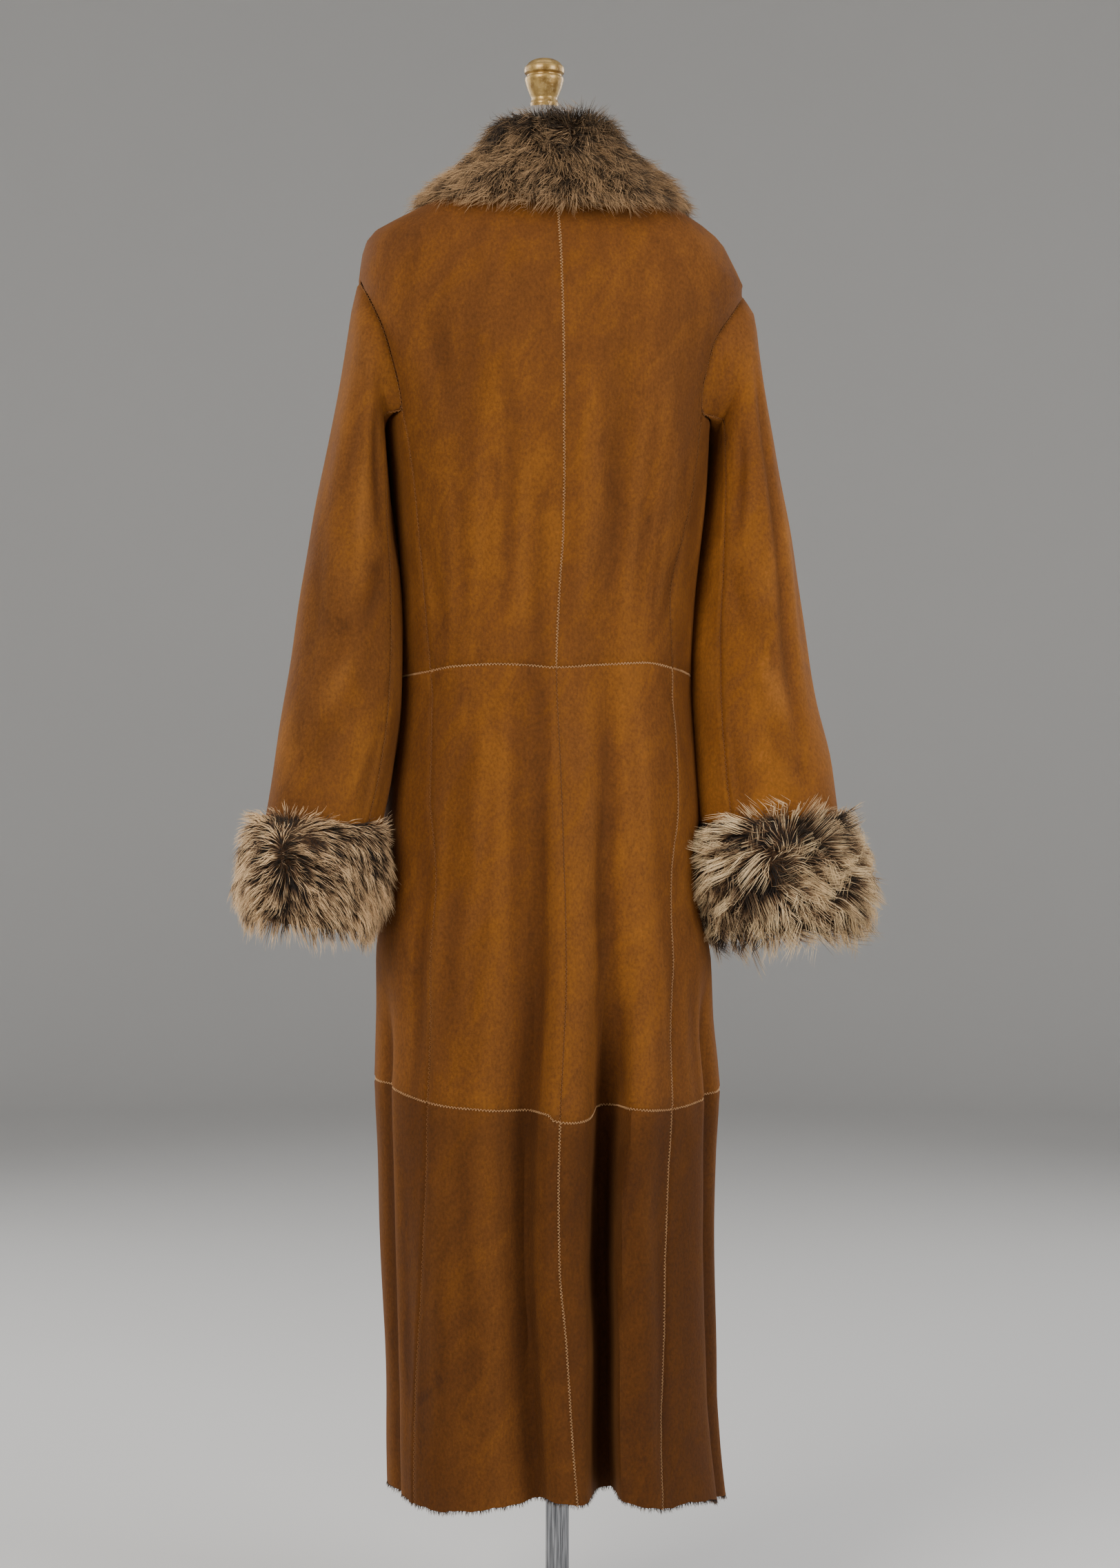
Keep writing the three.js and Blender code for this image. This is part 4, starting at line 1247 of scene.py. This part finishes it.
# %% [markdown]
# ## Growing fur and sewing stitches with nodes
# Hair and stitches are the same small shape thousands of times. Geometry nodes scatter or
# string them out, and their result is kept as a plain mesh. A hair starts at its root on the
# pelt, follows the comb, bends with its own droop, is drawn towards the middle of its lock
# and waves a little on the way.


# %% Node groups
def new_group(name, sockets):
    """An empty geometry node group with named inputs, and a way to read each."""
    tree = bpy.data.node_groups.new(name, "GeometryNodeTree")
    for key, kind in sockets.items():
        tree.interface.new_socket(key, in_out="INPUT", socket_type=f"NodeSocket{kind}")
    tree.interface.new_socket("Result", in_out="OUTPUT", socket_type="NodeSocketGeometry")
    source = tree.nodes.new("NodeGroupInput")
    return tree, {key: Wire(source.outputs[key]) for key in sockets}


def close_group(tree, geometry, material):
    """Ends a group: real geometry, smooth, with its material."""
    real = add_node(tree, "GeometryNodeRealizeInstances", None, {0: geometry})
    smooth = add_node(tree, "GeometryNodeSetShadeSmooth", None, {0: real})
    done = add_node(tree, "GeometryNodeSetMaterial", None, {"Geometry": smooth, "Material": material})
    target = tree.nodes.new("NodeGroupOutput")
    tree.links.new(done.socket, target.inputs[0])


def kept(tree, geometry, name, value, vector=True):
    """Stores a value on every point."""
    settings = {"data_type": "FLOAT_VECTOR" if vector else "FLOAT", "domain": "POINT"}
    links = {"Geometry": geometry, "Name": name, "Value": value}
    return add_node(tree, "GeometryNodeStoreNamedAttribute", settings, links)


def recalled(tree, name, vector=True):
    settings = {"data_type": "FLOAT_VECTOR" if vector else "FLOAT"}
    return add_node(tree, "GeometryNodeInputNamedAttribute", settings, {"Name": name})


def chance(tree, low, high, seed, vector=False):
    """A value drawn anew for every point."""
    settings = {"data_type": "FLOAT_VECTOR" if vector else "FLOAT"}
    first = 0 if vector else 2
    links = {first: low, first + 1: high, "Seed": seed}
    return add_node(tree, "FunctionNodeRandomValue", settings, links, out=0 if vector else 1)


def tube(tree, curve, radius):
    """A three-sided tube along a curve, closed at both ends."""
    circle = {"Resolution": 3, "Radius": 1.0}
    profile = add_node(tree, "GeometryNodeCurvePrimitiveCircle", {"mode": "RADIUS"}, circle)
    solid = {"Curve": curve, "Profile Curve": profile, "Scale": radius, "Fill Caps": True}
    return add_node(tree, "GeometryNodeCurveToMesh", None, solid)


def fur_group(steps=3):
    """Hairs that grow out of a pelt; each bends in so many steps."""
    tree, given = new_group("fur", {
        "Pelt": "Geometry", "Hairs": "Float", "Seed": "Int", "Thickness": "Float",
        "Lock": "Float", "Lock pull": "Float", "Strand": "Float", "Strand pull": "Float",
        "Curl turns": "Float", "Curl": "Float", "Stray": "Float", "Material": "Material",
    })
    scatter = {"Mesh": given["Pelt"], "Density": given["Hairs"] * recalled(tree, "furry", False),
               "Seed": given["Seed"]}
    points = add_node(tree, "GeometryNodeDistributePointsOnFaces", None, scatter)
    root = add_node(tree, "GeometryNodeInputPosition")
    comb, droop = recalled(tree, "comb"), recalled(tree, "droop")
    long = add_node(tree, "ShaderNodeVectorMath", {"operation": "LENGTH"}, {0: comb}, out=1)
    share = chance(tree, 0.7, 1.18, given["Seed"])
    stray = chance(tree, (-1, -1, -1), (1, 1, 1), given["Seed"], True)

    def cell(size, out):
        links = {"Vector": root, "Scale": size.math("POWER", -1)}
        return add_node(tree, "ShaderNodeTexVoronoi", {"feature": "F1"}, links, out=out)

    lock = (cell(given["Lock"], 2) - root) * given["Lock pull"]
    strand = (cell(given["Strand"], 2) - root) * given["Strand pull"]
    lock_chance = cell(given["Lock"], 1)
    points = kept(tree, points, "root", root)
    points = kept(tree, points, "growth", comb * share + stray * long * given["Stray"])
    points = kept(tree, points, "sag", droop * share)
    points = kept(tree, points, "gather", lock + strand)
    points = kept(tree, points, "wave", (lock_chance * 2 - 1) * long * given["Curl"])
    points = kept(tree, points, "lock", lock_chance)
    points = kept(tree, points, "tone", chance(tree, 0.0, 1.0, given["Seed"] + 7), False)
    line = add_node(tree, "GeometryNodeCurvePrimitiveLine", {"mode": "POINTS"}, {"End": (0, 0, 0.01)})
    parts = {"Curve": line, "Count": steps + 1}
    line = add_node(tree, "GeometryNodeResampleCurve", {"mode": "COUNT"}, parts)
    hairs = add_node(tree, "GeometryNodeInstanceOnPoints", None, {"Points": points, "Instance": line})
    hairs = add_node(tree, "GeometryNodeRealizeInstances", None, {0: hairs})
    t = add_node(tree, "GeometryNodeSplineParameter")
    turn = t * given["Curl turns"] * 6.283 + recalled(tree, "tone", False) * 0.8
    place = recalled(tree, "root") + recalled(tree, "growth") * t
    place = place + recalled(tree, "sag") * (t * t) + recalled(tree, "gather") * t.math("POWER", 1.3)
    place = place + recalled(tree, "wave") * (turn.math("SINE") * t)
    hairs = add_node(tree, "GeometryNodeSetPosition", None, {"Geometry": hairs, "Position": place})
    hairs = kept(tree, hairs, "along", t, False)
    hairs = tube(tree, hairs, (1.08 - t) * given["Thickness"])
    close_group(tree, hairs, given["Material"])
    return tree


def stitch_group():
    """A zigzag of thread laid along seam lines, two strands to a pitch."""
    tree, given = new_group("stitches", {
        "Seam": "Geometry", "Pitch": "Float", "Width": "Float", "Height": "Float",
        "Thread": "Float", "Seed": "Int", "Material": "Material",
    })
    line = add_node(tree, "GeometryNodeMeshToCurve", None, {0: given["Seam"]})
    parts = {"Curve": line, "Length": given["Pitch"]}
    line = add_node(tree, "GeometryNodeResampleCurve", {"mode": "LENGTH"}, parts)

    def strand(start, end):
        """One strand from side to side of the seam, sunk into the hide at both ends."""
        def point(across, along, up):
            links = {0: given["Pitch"] * along, 1: given["Width"] * across, 2: given["Height"] * up}
            return add_node(tree, "ShaderNodeCombineXYZ", None, links)
        links = {"Resolution": 2, "Start": point(*start, -0.9), "End": point(*end, -0.9)}
        links["Middle"] = point(0, (start[1] + end[1]) / 2, 2.6)
        curve = add_node(tree, "GeometryNodeCurveQuadraticBezier", None, links)
        return tube(tree, curve, given["Thread"])

    zigzag = add_node(tree, "GeometryNodeJoinGeometry")
    for part in (strand((-0.5, -0.5), (0.5, 0)), strand((0.5, 0), (-0.5, 0.5))):
        tree.links.new(part.socket, zigzag.socket.node.inputs[0])
    tangent = add_node(tree, "GeometryNodeInputTangent")
    along = {"Vector": tangent}
    turned_x = add_node(tree, "FunctionNodeAlignRotationToVector", {"axis": "X"}, along)
    upright = {"Rotation": turned_x, "Vector": recalled(tree, "up")}
    facing = add_node(tree, "FunctionNodeAlignRotationToVector", {"axis": "Z", "pivot_axis": "X"}, upright)
    size = chance(tree, (0.8, 0.75, 0.8), (1.1, 1.2, 1.2), given["Seed"], True)
    links = {"Points": line, "Instance": zigzag, "Rotation": facing, "Scale": size}
    close_group(tree, add_node(tree, "GeometryNodeInstanceOnPoints", None, links), given["Material"])
    return tree


SCRATCH_LAYERS = ("root", "growth", "sag", "gather", "wave", "up")


def grow(name, source, group, **values):
    """Runs a node group on a piece, keeps the result as a plain mesh and drops the source."""
    modifier = source.modifiers.new(group.name, "NODES")
    modifier.node_group = group
    for item in group.interface.items_tree:
        key = item.name.replace(" ", "_").lower()
        if item.in_out == "INPUT" and key in values:
            modifier[item.identifier] = values[key]
    bpy.context.view_layer.update()
    made = source.evaluated_get(bpy.context.evaluated_depsgraph_get())
    mesh = bpy.data.meshes.new_from_object(made)
    mesh.name = name
    for layer in [a.name for a in mesh.attributes if a.name in SCRATCH_LAYERS]:
        mesh.attributes.remove(mesh.attributes[layer])
    bpy.data.objects.remove(source)
    return placed(name, mesh)


FUR = fur_group()
STITCHES = stitch_group()
print("node groups:", FUR.name, len(FUR.nodes), "nodes,", STITCHES.name, len(STITCHES.nodes), "nodes")

# %% [markdown]
# ## Stitching
# The hides are butted and oversewn with a pale thread that zigzags over the join, so every
# main seam is a fine light line. The armholes and sleeves are sewn with thread in the colour
# of the suede.


# %% Stitches
def thread(name, dark, light):
    material, shader, place = start_material(name)
    ply = noise(place, 2600, 2, 0.6)
    wear_and_shade = noise(place, 22, 3, 0.6)
    colour = mixed(ply * 0.5 + wear_and_shade * 0.5, dark, light)
    set_shader(shader, Base_Color=colour, Roughness=0.75, Normal=bump(ply, 0.0002, 0.6))
    return material


def guide(lines, lift):
    """Seam lines as a wire mesh that remembers which way is out of the cloth."""
    points, pairs, ups = [], [], []
    for line, normal in lines:
        first = sum(len(p) for p in points)
        points.append((line + normal * lift) * MM)
        ups.append(normal)
        pairs += [(first + i, first + i + 1) for i in range(len(line) - 1)]
    mesh = bpy.data.meshes.new("seam_guide")
    mesh.from_pydata(np.concatenate(points).tolist(), pairs, [])
    layer = mesh.attributes.new("up", "FLOAT_VECTOR", "POINT")
    layer.data.foreach_set("vector", np.concatenate(ups).ravel().astype(np.float32))
    return placed("seam_guide", mesh)


def part_of(line, low=-1e9, high=1e9):
    """The stretch of a seam line between two heights."""
    points, normal = line
    inside = (points[:, 2] >= low) & (points[:, 2] <= high)
    return points[inside], normal[inside]


PALE_THREAD = thread("pale_thread", srgb(168, 120, 72), srgb(222, 178, 126))
SUEDE_THREAD = thread("suede_thread", srgb(118, 72, 32), srgb(168, 116, 62))
pale, toned = [], []
for tier in TIERS:
    centre_back = toned if tier == "skirt" else pale
    centre_back.append(part_of(edges[f"back_{tier}_left"]["from"], high=1540))
    princess_right = toned if tier == "upper" else pale
    princess_right.append(part_of(edges[f"back_{tier}_right"]["to"], high=UNDERARM_Z - 4))
    toned.append(part_of(edges[f"back_{tier}_left"]["to"], high=UNDERARM_Z - 4))
    toned += [part_of(edges[f"side_{tier}_{side}"]["to"]) for side in ("left", "right")]
for side in ("left", "right"):
    for part in ("back", "side", "front"):
        pale += [edges[f"{part}_upper_{side}"]["low"], edges[f"{part}_skirt_{side}"]["low"]]
    toned.append(part_of(edges[f"back_upper_{side}"]["to"], low=SHOULDER_TIP_Z - 4))
    for strip in ("top", "under"):
        toned.append(edges[f"sleeve_{strip}_{side}"]["low"])
    toned += [edges[f"sleeve_top_{side}"]["from"], edges[f"sleeve_top_{side}"]["to"]]
main_stitches = grow("stitches_main", guide(pale, 0.5), STITCHES, pitch=0.0034, width=0.0029,
                     height=0.0005, thread=0.00038, seed=3, material=PALE_THREAD)
sleeve_stitches = grow("stitches_sleeves", guide(toned, 0.5), STITCHES, pitch=0.0044, width=0.0024,
                       height=0.00035, thread=0.00028, seed=5, material=SUEDE_THREAD)
for piece in (main_stitches, sleeve_stitches):
    belongs(piece, "suede")
    print(piece.name, len(piece.data.polygons), "faces")

# %% [markdown]
# ## Fur collar
# The collar is one piece of long-haired shearling that stands up round the neck, folds over
# and falls onto the shoulders. The hide is a folded sheet some way inside the outline, and
# the hair fills the rest. The hair parts near the top of the back and runs down and outwards
# from there, with dark roots, tan tips and a few wisps that stand above the fold.


# %% Collar
def fur_material(name, root, middle, tip, patchy=0.3, locks=0.4, dark_above=None):
    """Hair that goes from a dark root to a light tip, unevenly from lock to lock.

    patchy and locks say how unevenly; dark_above gives two heights in metres between which
    the tips lose their light colour.
    """
    material, shader, place = start_material(name)
    tree = material.node_tree
    along = add_node(tree, "ShaderNodeAttribute", {"attribute_name": "along"}, out=2)
    tone = add_node(tree, "ShaderNodeAttribute", {"attribute_name": "tone"}, out=2)
    lock = add_node(tree, "ShaderNodeAttribute", {"attribute_name": "lock"}, out=0)
    lock = add_node(tree, "ShaderNodeSeparateColor", None, {0: lock}, out=0)
    patch = noise(place, 34, 3, 0.6).spread(0.34, 0.66)
    light = along + 0.42 * (tone - 0.5) + locks * (lock - 0.5) + patchy * (patch - 0.5)
    if dark_above:
        height = add_node(tree, "ShaderNodeSeparateXYZ", None, {0: place}, out=2)
        light = light - 0.34 * height.spread(*dark_above)
    colour = mixed(light.spread(0.18, 0.52), root, middle)
    colour = mixed(light.spread(0.4, 0.86), colour, tip)
    set_shader(shader, Base_Color=colour, Roughness=0.6 + 0.1 * tone, Specular_IOR_Level=0.3,
               Sheen_Weight=0.15, Sheen_Tint=srgb(220, 190, 150))
    return material


def field_object(name, points, faces, facts):
    """An open mesh for the node groups, with values kept on its points."""
    mesh = bpy.data.meshes.new(name)
    mesh.from_pydata(points.tolist(), [], faces)
    for key, values in facts.items():
        kind, field = ("FLOAT_VECTOR", "vector") if values.ndim == 2 else ("FLOAT", "value")
        layer = mesh.attributes.new(key, kind, "POINT")
        layer.data.foreach_set(field, values.ravel().astype(np.float32))
    return placed(name, mesh)


def pelt_field(name, outer, comb, droop, furry):
    """The furry face of a pelt as an open mesh that only the node group sees."""
    rows, columns = outer.shape[:2]
    outside, _, _ = grid_faces(rows, columns, False)
    faces = outside.tolist()
    source = field_object(name, outer.reshape(-1, 3) * MM, faces, {
        "comb": comb.reshape(-1, 3) * MM, "droop": droop.reshape(-1, 3) * MM, "furry": furry.ravel(),
    })
    area = sum(f.area * furry.ravel()[list(f.vertices)].mean() for f in source.data.polygons)
    return source, area


def unsteady(first, second, seed, size):
    """A smooth wandering value, about -1 to 1, over two coordinates in mm."""
    total = np.zeros(np.broadcast(first, second).shape)
    for number in range(5):
        way = 2.4 * number + seed
        phase = (first * math.cos(way) + second * math.sin(way)) / (size * (1 + 0.4 * number))
        total = total + np.sin(2 * np.pi * phase + seed * number)
    return total / 2.6


# Each ring: how far it reaches to the left, right, back and front, and its heights at the
# back, the sides and the front, in mm
COLLAR_OUTSIDE = [
    (143, 132, 131, 116, 1546, 1560, 1540),
    (132, 120, 128, 110, 1567, 1580, 1560),
    (108, 100, 110, 94, 1594, 1604, 1580),
    (84, 74, 87, 74, 1623, 1626, 1600),
    (64, 52, 61, 56, 1638, 1641, 1609),
]
COLLAR_INSIDE = [(66, 48, 50, 48, 1600, 1598, 1596), (54, 38, 44, 44, 1634, 1634, 1604)]
COLLAR_EDGE = Table(["angle", "height"], [
    [0, 1543], [30, 1549], [50, 1560], [70, 1568], [90, 1571],
    [110, 1568], [130, 1559], [150, 1550], [180, 1544],
])
COLLAR_END = 172.5
# An odd number of columns, so that the centre back has roots of its own
COLLAR_COLUMNS, COLLAR_ROWS = 113, 30
COLLAR_MIDDLE = (14, 0, 1560)
COLLAR_WALL = 3
COLLAR_HAIRS = 8700
PELT_SHARES = (0.42, 0.46, 0.5, 0.62, 0.66)


def collar_ring(row, angle):
    left, right, back, front, back_z, side_z, front_z = row
    aside, along = np.sin(np.radians(angle)), np.cos(np.radians(angle))
    x = np.where(aside >= 0, left, right) * aside
    y = np.where(along >= 0, back, front) * along
    z = side_z + (np.where(along >= 0, back_z, front_z) - side_z) * along**2
    return np.stack([x, y, z], -1)


def collar_pelt(first, last, columns, rows):
    """The furry face of the collar's hide between two angles, from its foot inside to its edge."""
    angle = np.linspace(first, last, columns)
    edge = COLLAR_EDGE("height", np.abs(angle))
    heights = (edge, (edge + NECK_Z) / 2, np.full_like(edge, NECK_Z))
    under = [coat_surface(angle, h) + coat_normal(angle, h) * 2 for h in heights]
    under += [collar_ring(row, angle) for row in COLLAR_INSIDE]
    outside = [collar_ring(row, angle) for row in COLLAR_OUTSIDE]
    fall = [u + (o - u) * s for u, o, s in zip(under, outside, PELT_SHARES)]
    stand = [under[3] + (outside[3] - under[3]) * 0.2, under[4] + (outside[4] - under[4]) * 0.3]
    path = np.stack([stand[0], stand[1], fall[4] + (0, 0, 1.5), fall[3], fall[2], fall[1], fall[0]])
    keys = np.array([0, 34, 52, 76, 112, 148, 174], float)
    grid = curve_read(keys, path.reshape(7, -1), np.linspace(0, keys[-1], rows)).reshape(rows, columns, 3)
    return grid, angle


def collar_comb(grid, angle, normal):
    """Which way the collar's hair runs, and how long it is, in mm.

    The crest is the fold itself, the temples lie beside the neck on both sides, the wisps
    stand up left of the middle, and the slope is the fuller part over the right shoulder.
    """
    fall = np.linspace(0, 1, len(grid))[:, None] * np.ones_like(angle)
    down = unit(np.gradient(grid, axis=0))
    around = unit(np.gradient(grid, axis=1))
    a = angle[None] * np.ones_like(fall)
    crest = np.exp(-(((fall - 0.3) / 0.1) ** 2))
    outwards = np.tanh((a + 8) / 34) * (0.5 - 0.42 * fall) * np.cos(np.radians(a / 2))
    wander = unsteady(a * 1.9, fall * 174, 1.3, 34)
    aside = outwards + 0.6 * wander
    wisps = np.exp(-(((a + 34) / 26) ** 2)) * crest
    lift = 0.5 + 0.12 * unsteady(a * 1.9, fall * 174, 4.1, 30) + 0.55 * crest + 0.5 * wisps
    temple = np.exp(-(((np.abs(a) - 80) / 38) ** 2)) * np.exp(-(((fall - 0.26) / 0.14) ** 2))
    slope = np.exp(-(((a + 88) / 40) ** 2)) * np.exp(-(((fall - 0.62) / 0.2) ** 2))
    lift = lift - 0.5 * temple + 0.25 * slope
    along = 0.95 - 0.75 * crest - 0.35 * wisps + 0.4 * temple
    inside = 1 - smoothstep(fall, 0.16, 0.3)
    lift = lift * (1 - 0.75 * inside)
    way = down * along[..., None] + around * aside[..., None] + normal * lift[..., None]
    way = way + np.array((0, 0, 0.9)) * inside[..., None]
    long = 23 + 3 * unsteady(a * 1.9, fall * 174, 2.2, 60) - 9 * inside + 3 * wisps - 6 * temple + 4 * slope
    comb = unit(way) * long[..., None]
    droop = np.zeros_like(comb)
    droop[..., 2] = -0.2 * long * (1 - inside)
    furry = 1 - 0.65 * inside
    facing = smoothstep(np.cos(np.radians(a)), -0.6, 0.5)
    return comb, droop, furry * (0.45 + 0.55 * facing)


FUR_LOOK = fur_material("collar_fur", srgb(28, 20, 14), srgb(88, 66, 45), srgb(188, 152, 110),
                        patchy=0.16, dark_above=(1.57, 1.66))
HIDE = wool("fur_hide", srgb(40, 28, 20), srgb(84, 62, 44))
grid, angle = collar_pelt(-COLLAR_END, COLLAR_END, COLLAR_COLUMNS, COLLAR_ROWS)
normal = grid_normals(grid, np.array([COLLAR_MIDDLE]) * np.ones((len(grid), 1)))
pelt = wall_object("collar_hide", grid, grid - normal * COLLAR_WALL, [HIDE, SUEDE_BODY])
belongs(pelt, "fur", "collar")
collar_furs = []
for name, sign in (("collar_fur_left", 1), ("collar_fur_right", -1)):
    columns = angle * sign >= -1e-6
    part, some = grid[:, columns], angle[columns]
    comb, droop, furry = collar_comb(part, some, normal[:, columns])
    source, area = pelt_field("collar_field", part, comb, droop, furry)
    fur = grow(name, source, FUR, hairs=COLLAR_HAIRS / area, seed=11 + len(collar_furs),
               thickness=0.00038, lock=0.008, lock_pull=0.42, strand=0.0035, strand_pull=0.45,
               curl_turns=1.1, curl=0.18, stray=0.26, material=FUR_LOOK)
    belongs(fur, "fur")
    collar_furs.append(fur)
    print(name, len(fur.data.polygons), "faces")
declare_cloth(grid)

# %% [markdown]
# ## Fur cuffs
# Each cuff is the end of the sleeve's own hide, turned up over the outside, so its long wool
# shows. The hair falls away from a dark parting that faces backwards. On the left one it is
# combed down and inwards in fine locks; on the right one it is longer and curlier, and swirls
# out of a whorl with cream tips.

# %% Cuffs
CUFF_ROWS = {
    "left": [
        (338, 910, 187, 894, 50, 75, 0),
        (355, 884, 181, 868, 51, 87, 0),
        (359, 852, 181, 838, 52, 91, 0),
        (355, 826, 187, 808, 52, 88, 0),
        (340, 808, 200, 788, 52, 77, 0),
    ],
    "right": [
        (311, 907, 148, 900, 50, 78, 0),
        (326, 880, 136, 874, 51, 91, 0),
        (332, 846, 136, 840, 52, 94, 0),
        (332, 816, 141, 808, 52, 91, 0),
        (319, 790, 158, 784, 52, 81, 0),
    ],
}
# How the hair is combed: where its parting is, how upright that is and how far it spreads, the
# comb beyond it, the hair's length in mm, its swirl in degrees, how strongly it stands up at
# the upper rim, and how much of any other upward comb is left
CUFF_COMB = {
    "left": {
        "parting": (308, 128, 862), "squash": 0.25, "spread": 58, "lean": (0.1, 0, -0.5),
        "long": 24.5, "swirl": 0, "rim": 1.15, "rise": 1,
    },
    "right": {
        "parting": (-199, 135, 862), "squash": 0.6, "spread": 85, "lean": (-0.1, 0, -0.15),
        "long": 30, "swirl": 30, "rim": 0.5, "rise": 0.5,
    },
}
# How it gathers: the size of a lock in metres, how far hairs are drawn into it, and the curl
CUFF_LOCKS = {
    "left": {"lock": 0.01, "lock_pull": 0.66, "curl_turns": 0.9, "curl": 0.17},
    "right": {"lock": 0.015, "lock_pull": 0.76, "curl_turns": 1.2, "curl": 0.33},
}
CUFF_ROOT = srgb(22, 14, 11)
CUFF_LOOKS = {
    "left": fur_material("cuff_fur_left", CUFF_ROOT, srgb(112, 82, 56), srgb(250, 212, 162),
                         locks=0.5),
    "right": fur_material("cuff_fur_right", CUFF_ROOT, srgb(128, 95, 65), srgb(250, 220, 172),
                          locks=0.6),
}
CUFF_TURNS, CUFF_HEIGHTS = 72, 18
CUFF_HAIRS = 7700
# How far out of the sleeve the hide lies, as a share of the cuff's depth: at its rims, halfway
CUFF_PELT = (0.1, 0.46)


def cuff_grids(side, sign):
    """Points just off the sleeve, and points on the turned-up hide, over the whole cuff."""
    turns = np.linspace(0, 2 * np.pi, CUFF_TURNS, endpoint=False)
    share = np.linspace(0, 1, CUFF_HEIGHTS)
    reach = curve_read(np.linspace(0, 1, 5), np.array(CUFF_ROWS[side], float), share)
    sleeve = np.array(SLEEVE_ROWS[side], float)
    fallen = -(sleeve[:, 1] + sleeve[:, 3])
    within = curve_read(fallen, sleeve, -(reach[:, 1] + reach[:, 3]))
    near, far = oval(within, sign, turns, 1.5), oval(reach, sign, turns)
    edge, belly = CUFF_PELT
    off = edge + (belly - edge) * np.sin(np.pi * np.clip(share, 0.08, 0.92)) ** 0.7
    return near, near + (far - near) * off[:, None, None]


def cuff_comb(side, grid, normal):
    """Hair runs away from the parting and, further off, down with the comb."""
    facts = CUFF_COMB[side]
    apart = grid - np.array(facts["parting"], float)
    apart = apart - normal * (apart * normal).sum(-1, keepdims=True)
    apart[..., 2] *= facts["squash"]
    distance = np.linalg.norm(apart, axis=-1, keepdims=True)
    away = apart / np.maximum(distance, 4)
    swirl = np.radians(facts["swirl"] + 30 * unsteady(grid[..., 0], grid[..., 2], 1.9, 34))[..., None]
    away = away * np.cos(swirl) + np.cross(normal, away) * np.sin(swirl)
    near = np.exp(-((distance / facts["spread"]) ** 2))
    down = np.array((0, 0, -1.0)) + normal * normal[..., 2:]
    lift = 0.34 + 0.28 * np.exp(-((distance / 14) ** 2))
    lift = lift + 0.18 * unsteady(grid[..., 0] * 1.2, grid[..., 2], 5.3, 30)[..., None]
    way = away * (0.35 + 0.65 * near) + (down * 0.55 + np.array(facts["lean"])) * (1 - 0.6 * near)
    way[..., 2] = np.where(way[..., 2] > 0, way[..., 2] * facts["rise"], way[..., 2])
    rim = 1 - smoothstep(np.linspace(0, 1, len(grid)), 0, 0.2)[:, None, None]
    way = way + np.array((0, 0, facts["rim"])) * rim
    long = facts["long"] * (1 + 0.1 * unsteady(grid[..., 0], grid[..., 2], 3.1, 50))[..., None]
    long = long * (1 - 0.22 * rim)
    comb = unit(way + normal * lift) * long
    droop = np.array((0, 0, -0.16)) * long
    return comb, droop, 0.42 + 0.58 * smoothstep(grid[..., 1], 20, 90)


for side, sign in (("left", 1), ("right", -1)):
    near, grid = cuff_grids(side, sign)
    closed = np.concatenate([grid, grid[:, :1]], axis=1)
    normal = grid_normals(closed, near.mean(axis=1))
    normal[:, 0] = normal[:, -1] = unit(normal[:, 0] + normal[:, -1])
    hide = wall_object(f"cuff_hide_{side}", grid, near, [HIDE, SUEDE_BODY], around=True)
    belongs(hide, "fur", f"cuff_{side}")
    source, area = pelt_field("cuff_field", closed, *cuff_comb(side, closed, normal))
    fur = grow(f"cuff_fur_{side}", source, FUR, hairs=CUFF_HAIRS / area, seed=23 + sign,
               thickness=0.00048, strand=0.005, strand_pull=0.5, stray=0.12,
               material=CUFF_LOOKS[side], **CUFF_LOCKS[side])
    belongs(fur, "fur")
    declare_cloth(closed)
    print(fur.name, len(fur.data.polygons), "faces")

# %% [markdown]
# ## The raw edges
# The hem is cut raw, so the clipped wool of the inside peeps out past the suede as a thin
# dark fringe a few millimetres long. It grows from the cut itself, by the same nodes as the
# long fur.


# %% Fringe
def edge_field(name, lines, long):
    """The cut edges themselves as narrow strips, with hair that stands out of the cut."""
    points, faces, combs = [], [], []
    for line, normal, way in lines:
        first, count = 2 * sum(len(c) for c in combs), len(line)
        points.append(np.concatenate([line - normal * 0.4, line - normal * WALL]) * MM)
        combs.append(unit(way + normal * 0.25) * long * MM)
        square = np.array((0, 1, count + 1, count))
        faces += [tuple(int(corner) for corner in first + i + square) for i in range(count - 1)]
    comb = np.concatenate([np.concatenate([c, c]) for c in combs])
    facts = {"comb": comb, "droop": comb * 0.1, "furry": np.ones(len(comb))}
    source = field_object(name, np.concatenate(points), faces, facts)
    return source, sum(f.area for f in source.data.polygons)


FRINGE_HAIRS, FRINGE_LENGTH = 2300, 4.2
SHORT_FUR = fur_group(steps=2)
FRINGE_LOOK = fur_material("fringe_fur", srgb(30, 19, 13), srgb(58, 40, 28), srgb(104, 76, 52))
hem_lines = [
    (*edges[f"{part}_hem_{side}"]["low"], np.array((0, 0, -1.0)))
    for side in ("left", "right") for part in ("back", "side", "front")
]
source, area = edge_field("edge_field", hem_lines, FRINGE_LENGTH)
fringe = grow("hem_fringe", source, SHORT_FUR, hairs=FRINGE_HAIRS / area, seed=31,
              thickness=0.0003, lock=0.004, lock_pull=0.4, strand=0.002, strand_pull=0.3,
              curl_turns=0.5, curl=0.2, stray=0.3, material=FRINGE_LOOK)
belongs(fringe, "fur")
print(fringe.name, len(fringe.data.polygons), "faces")
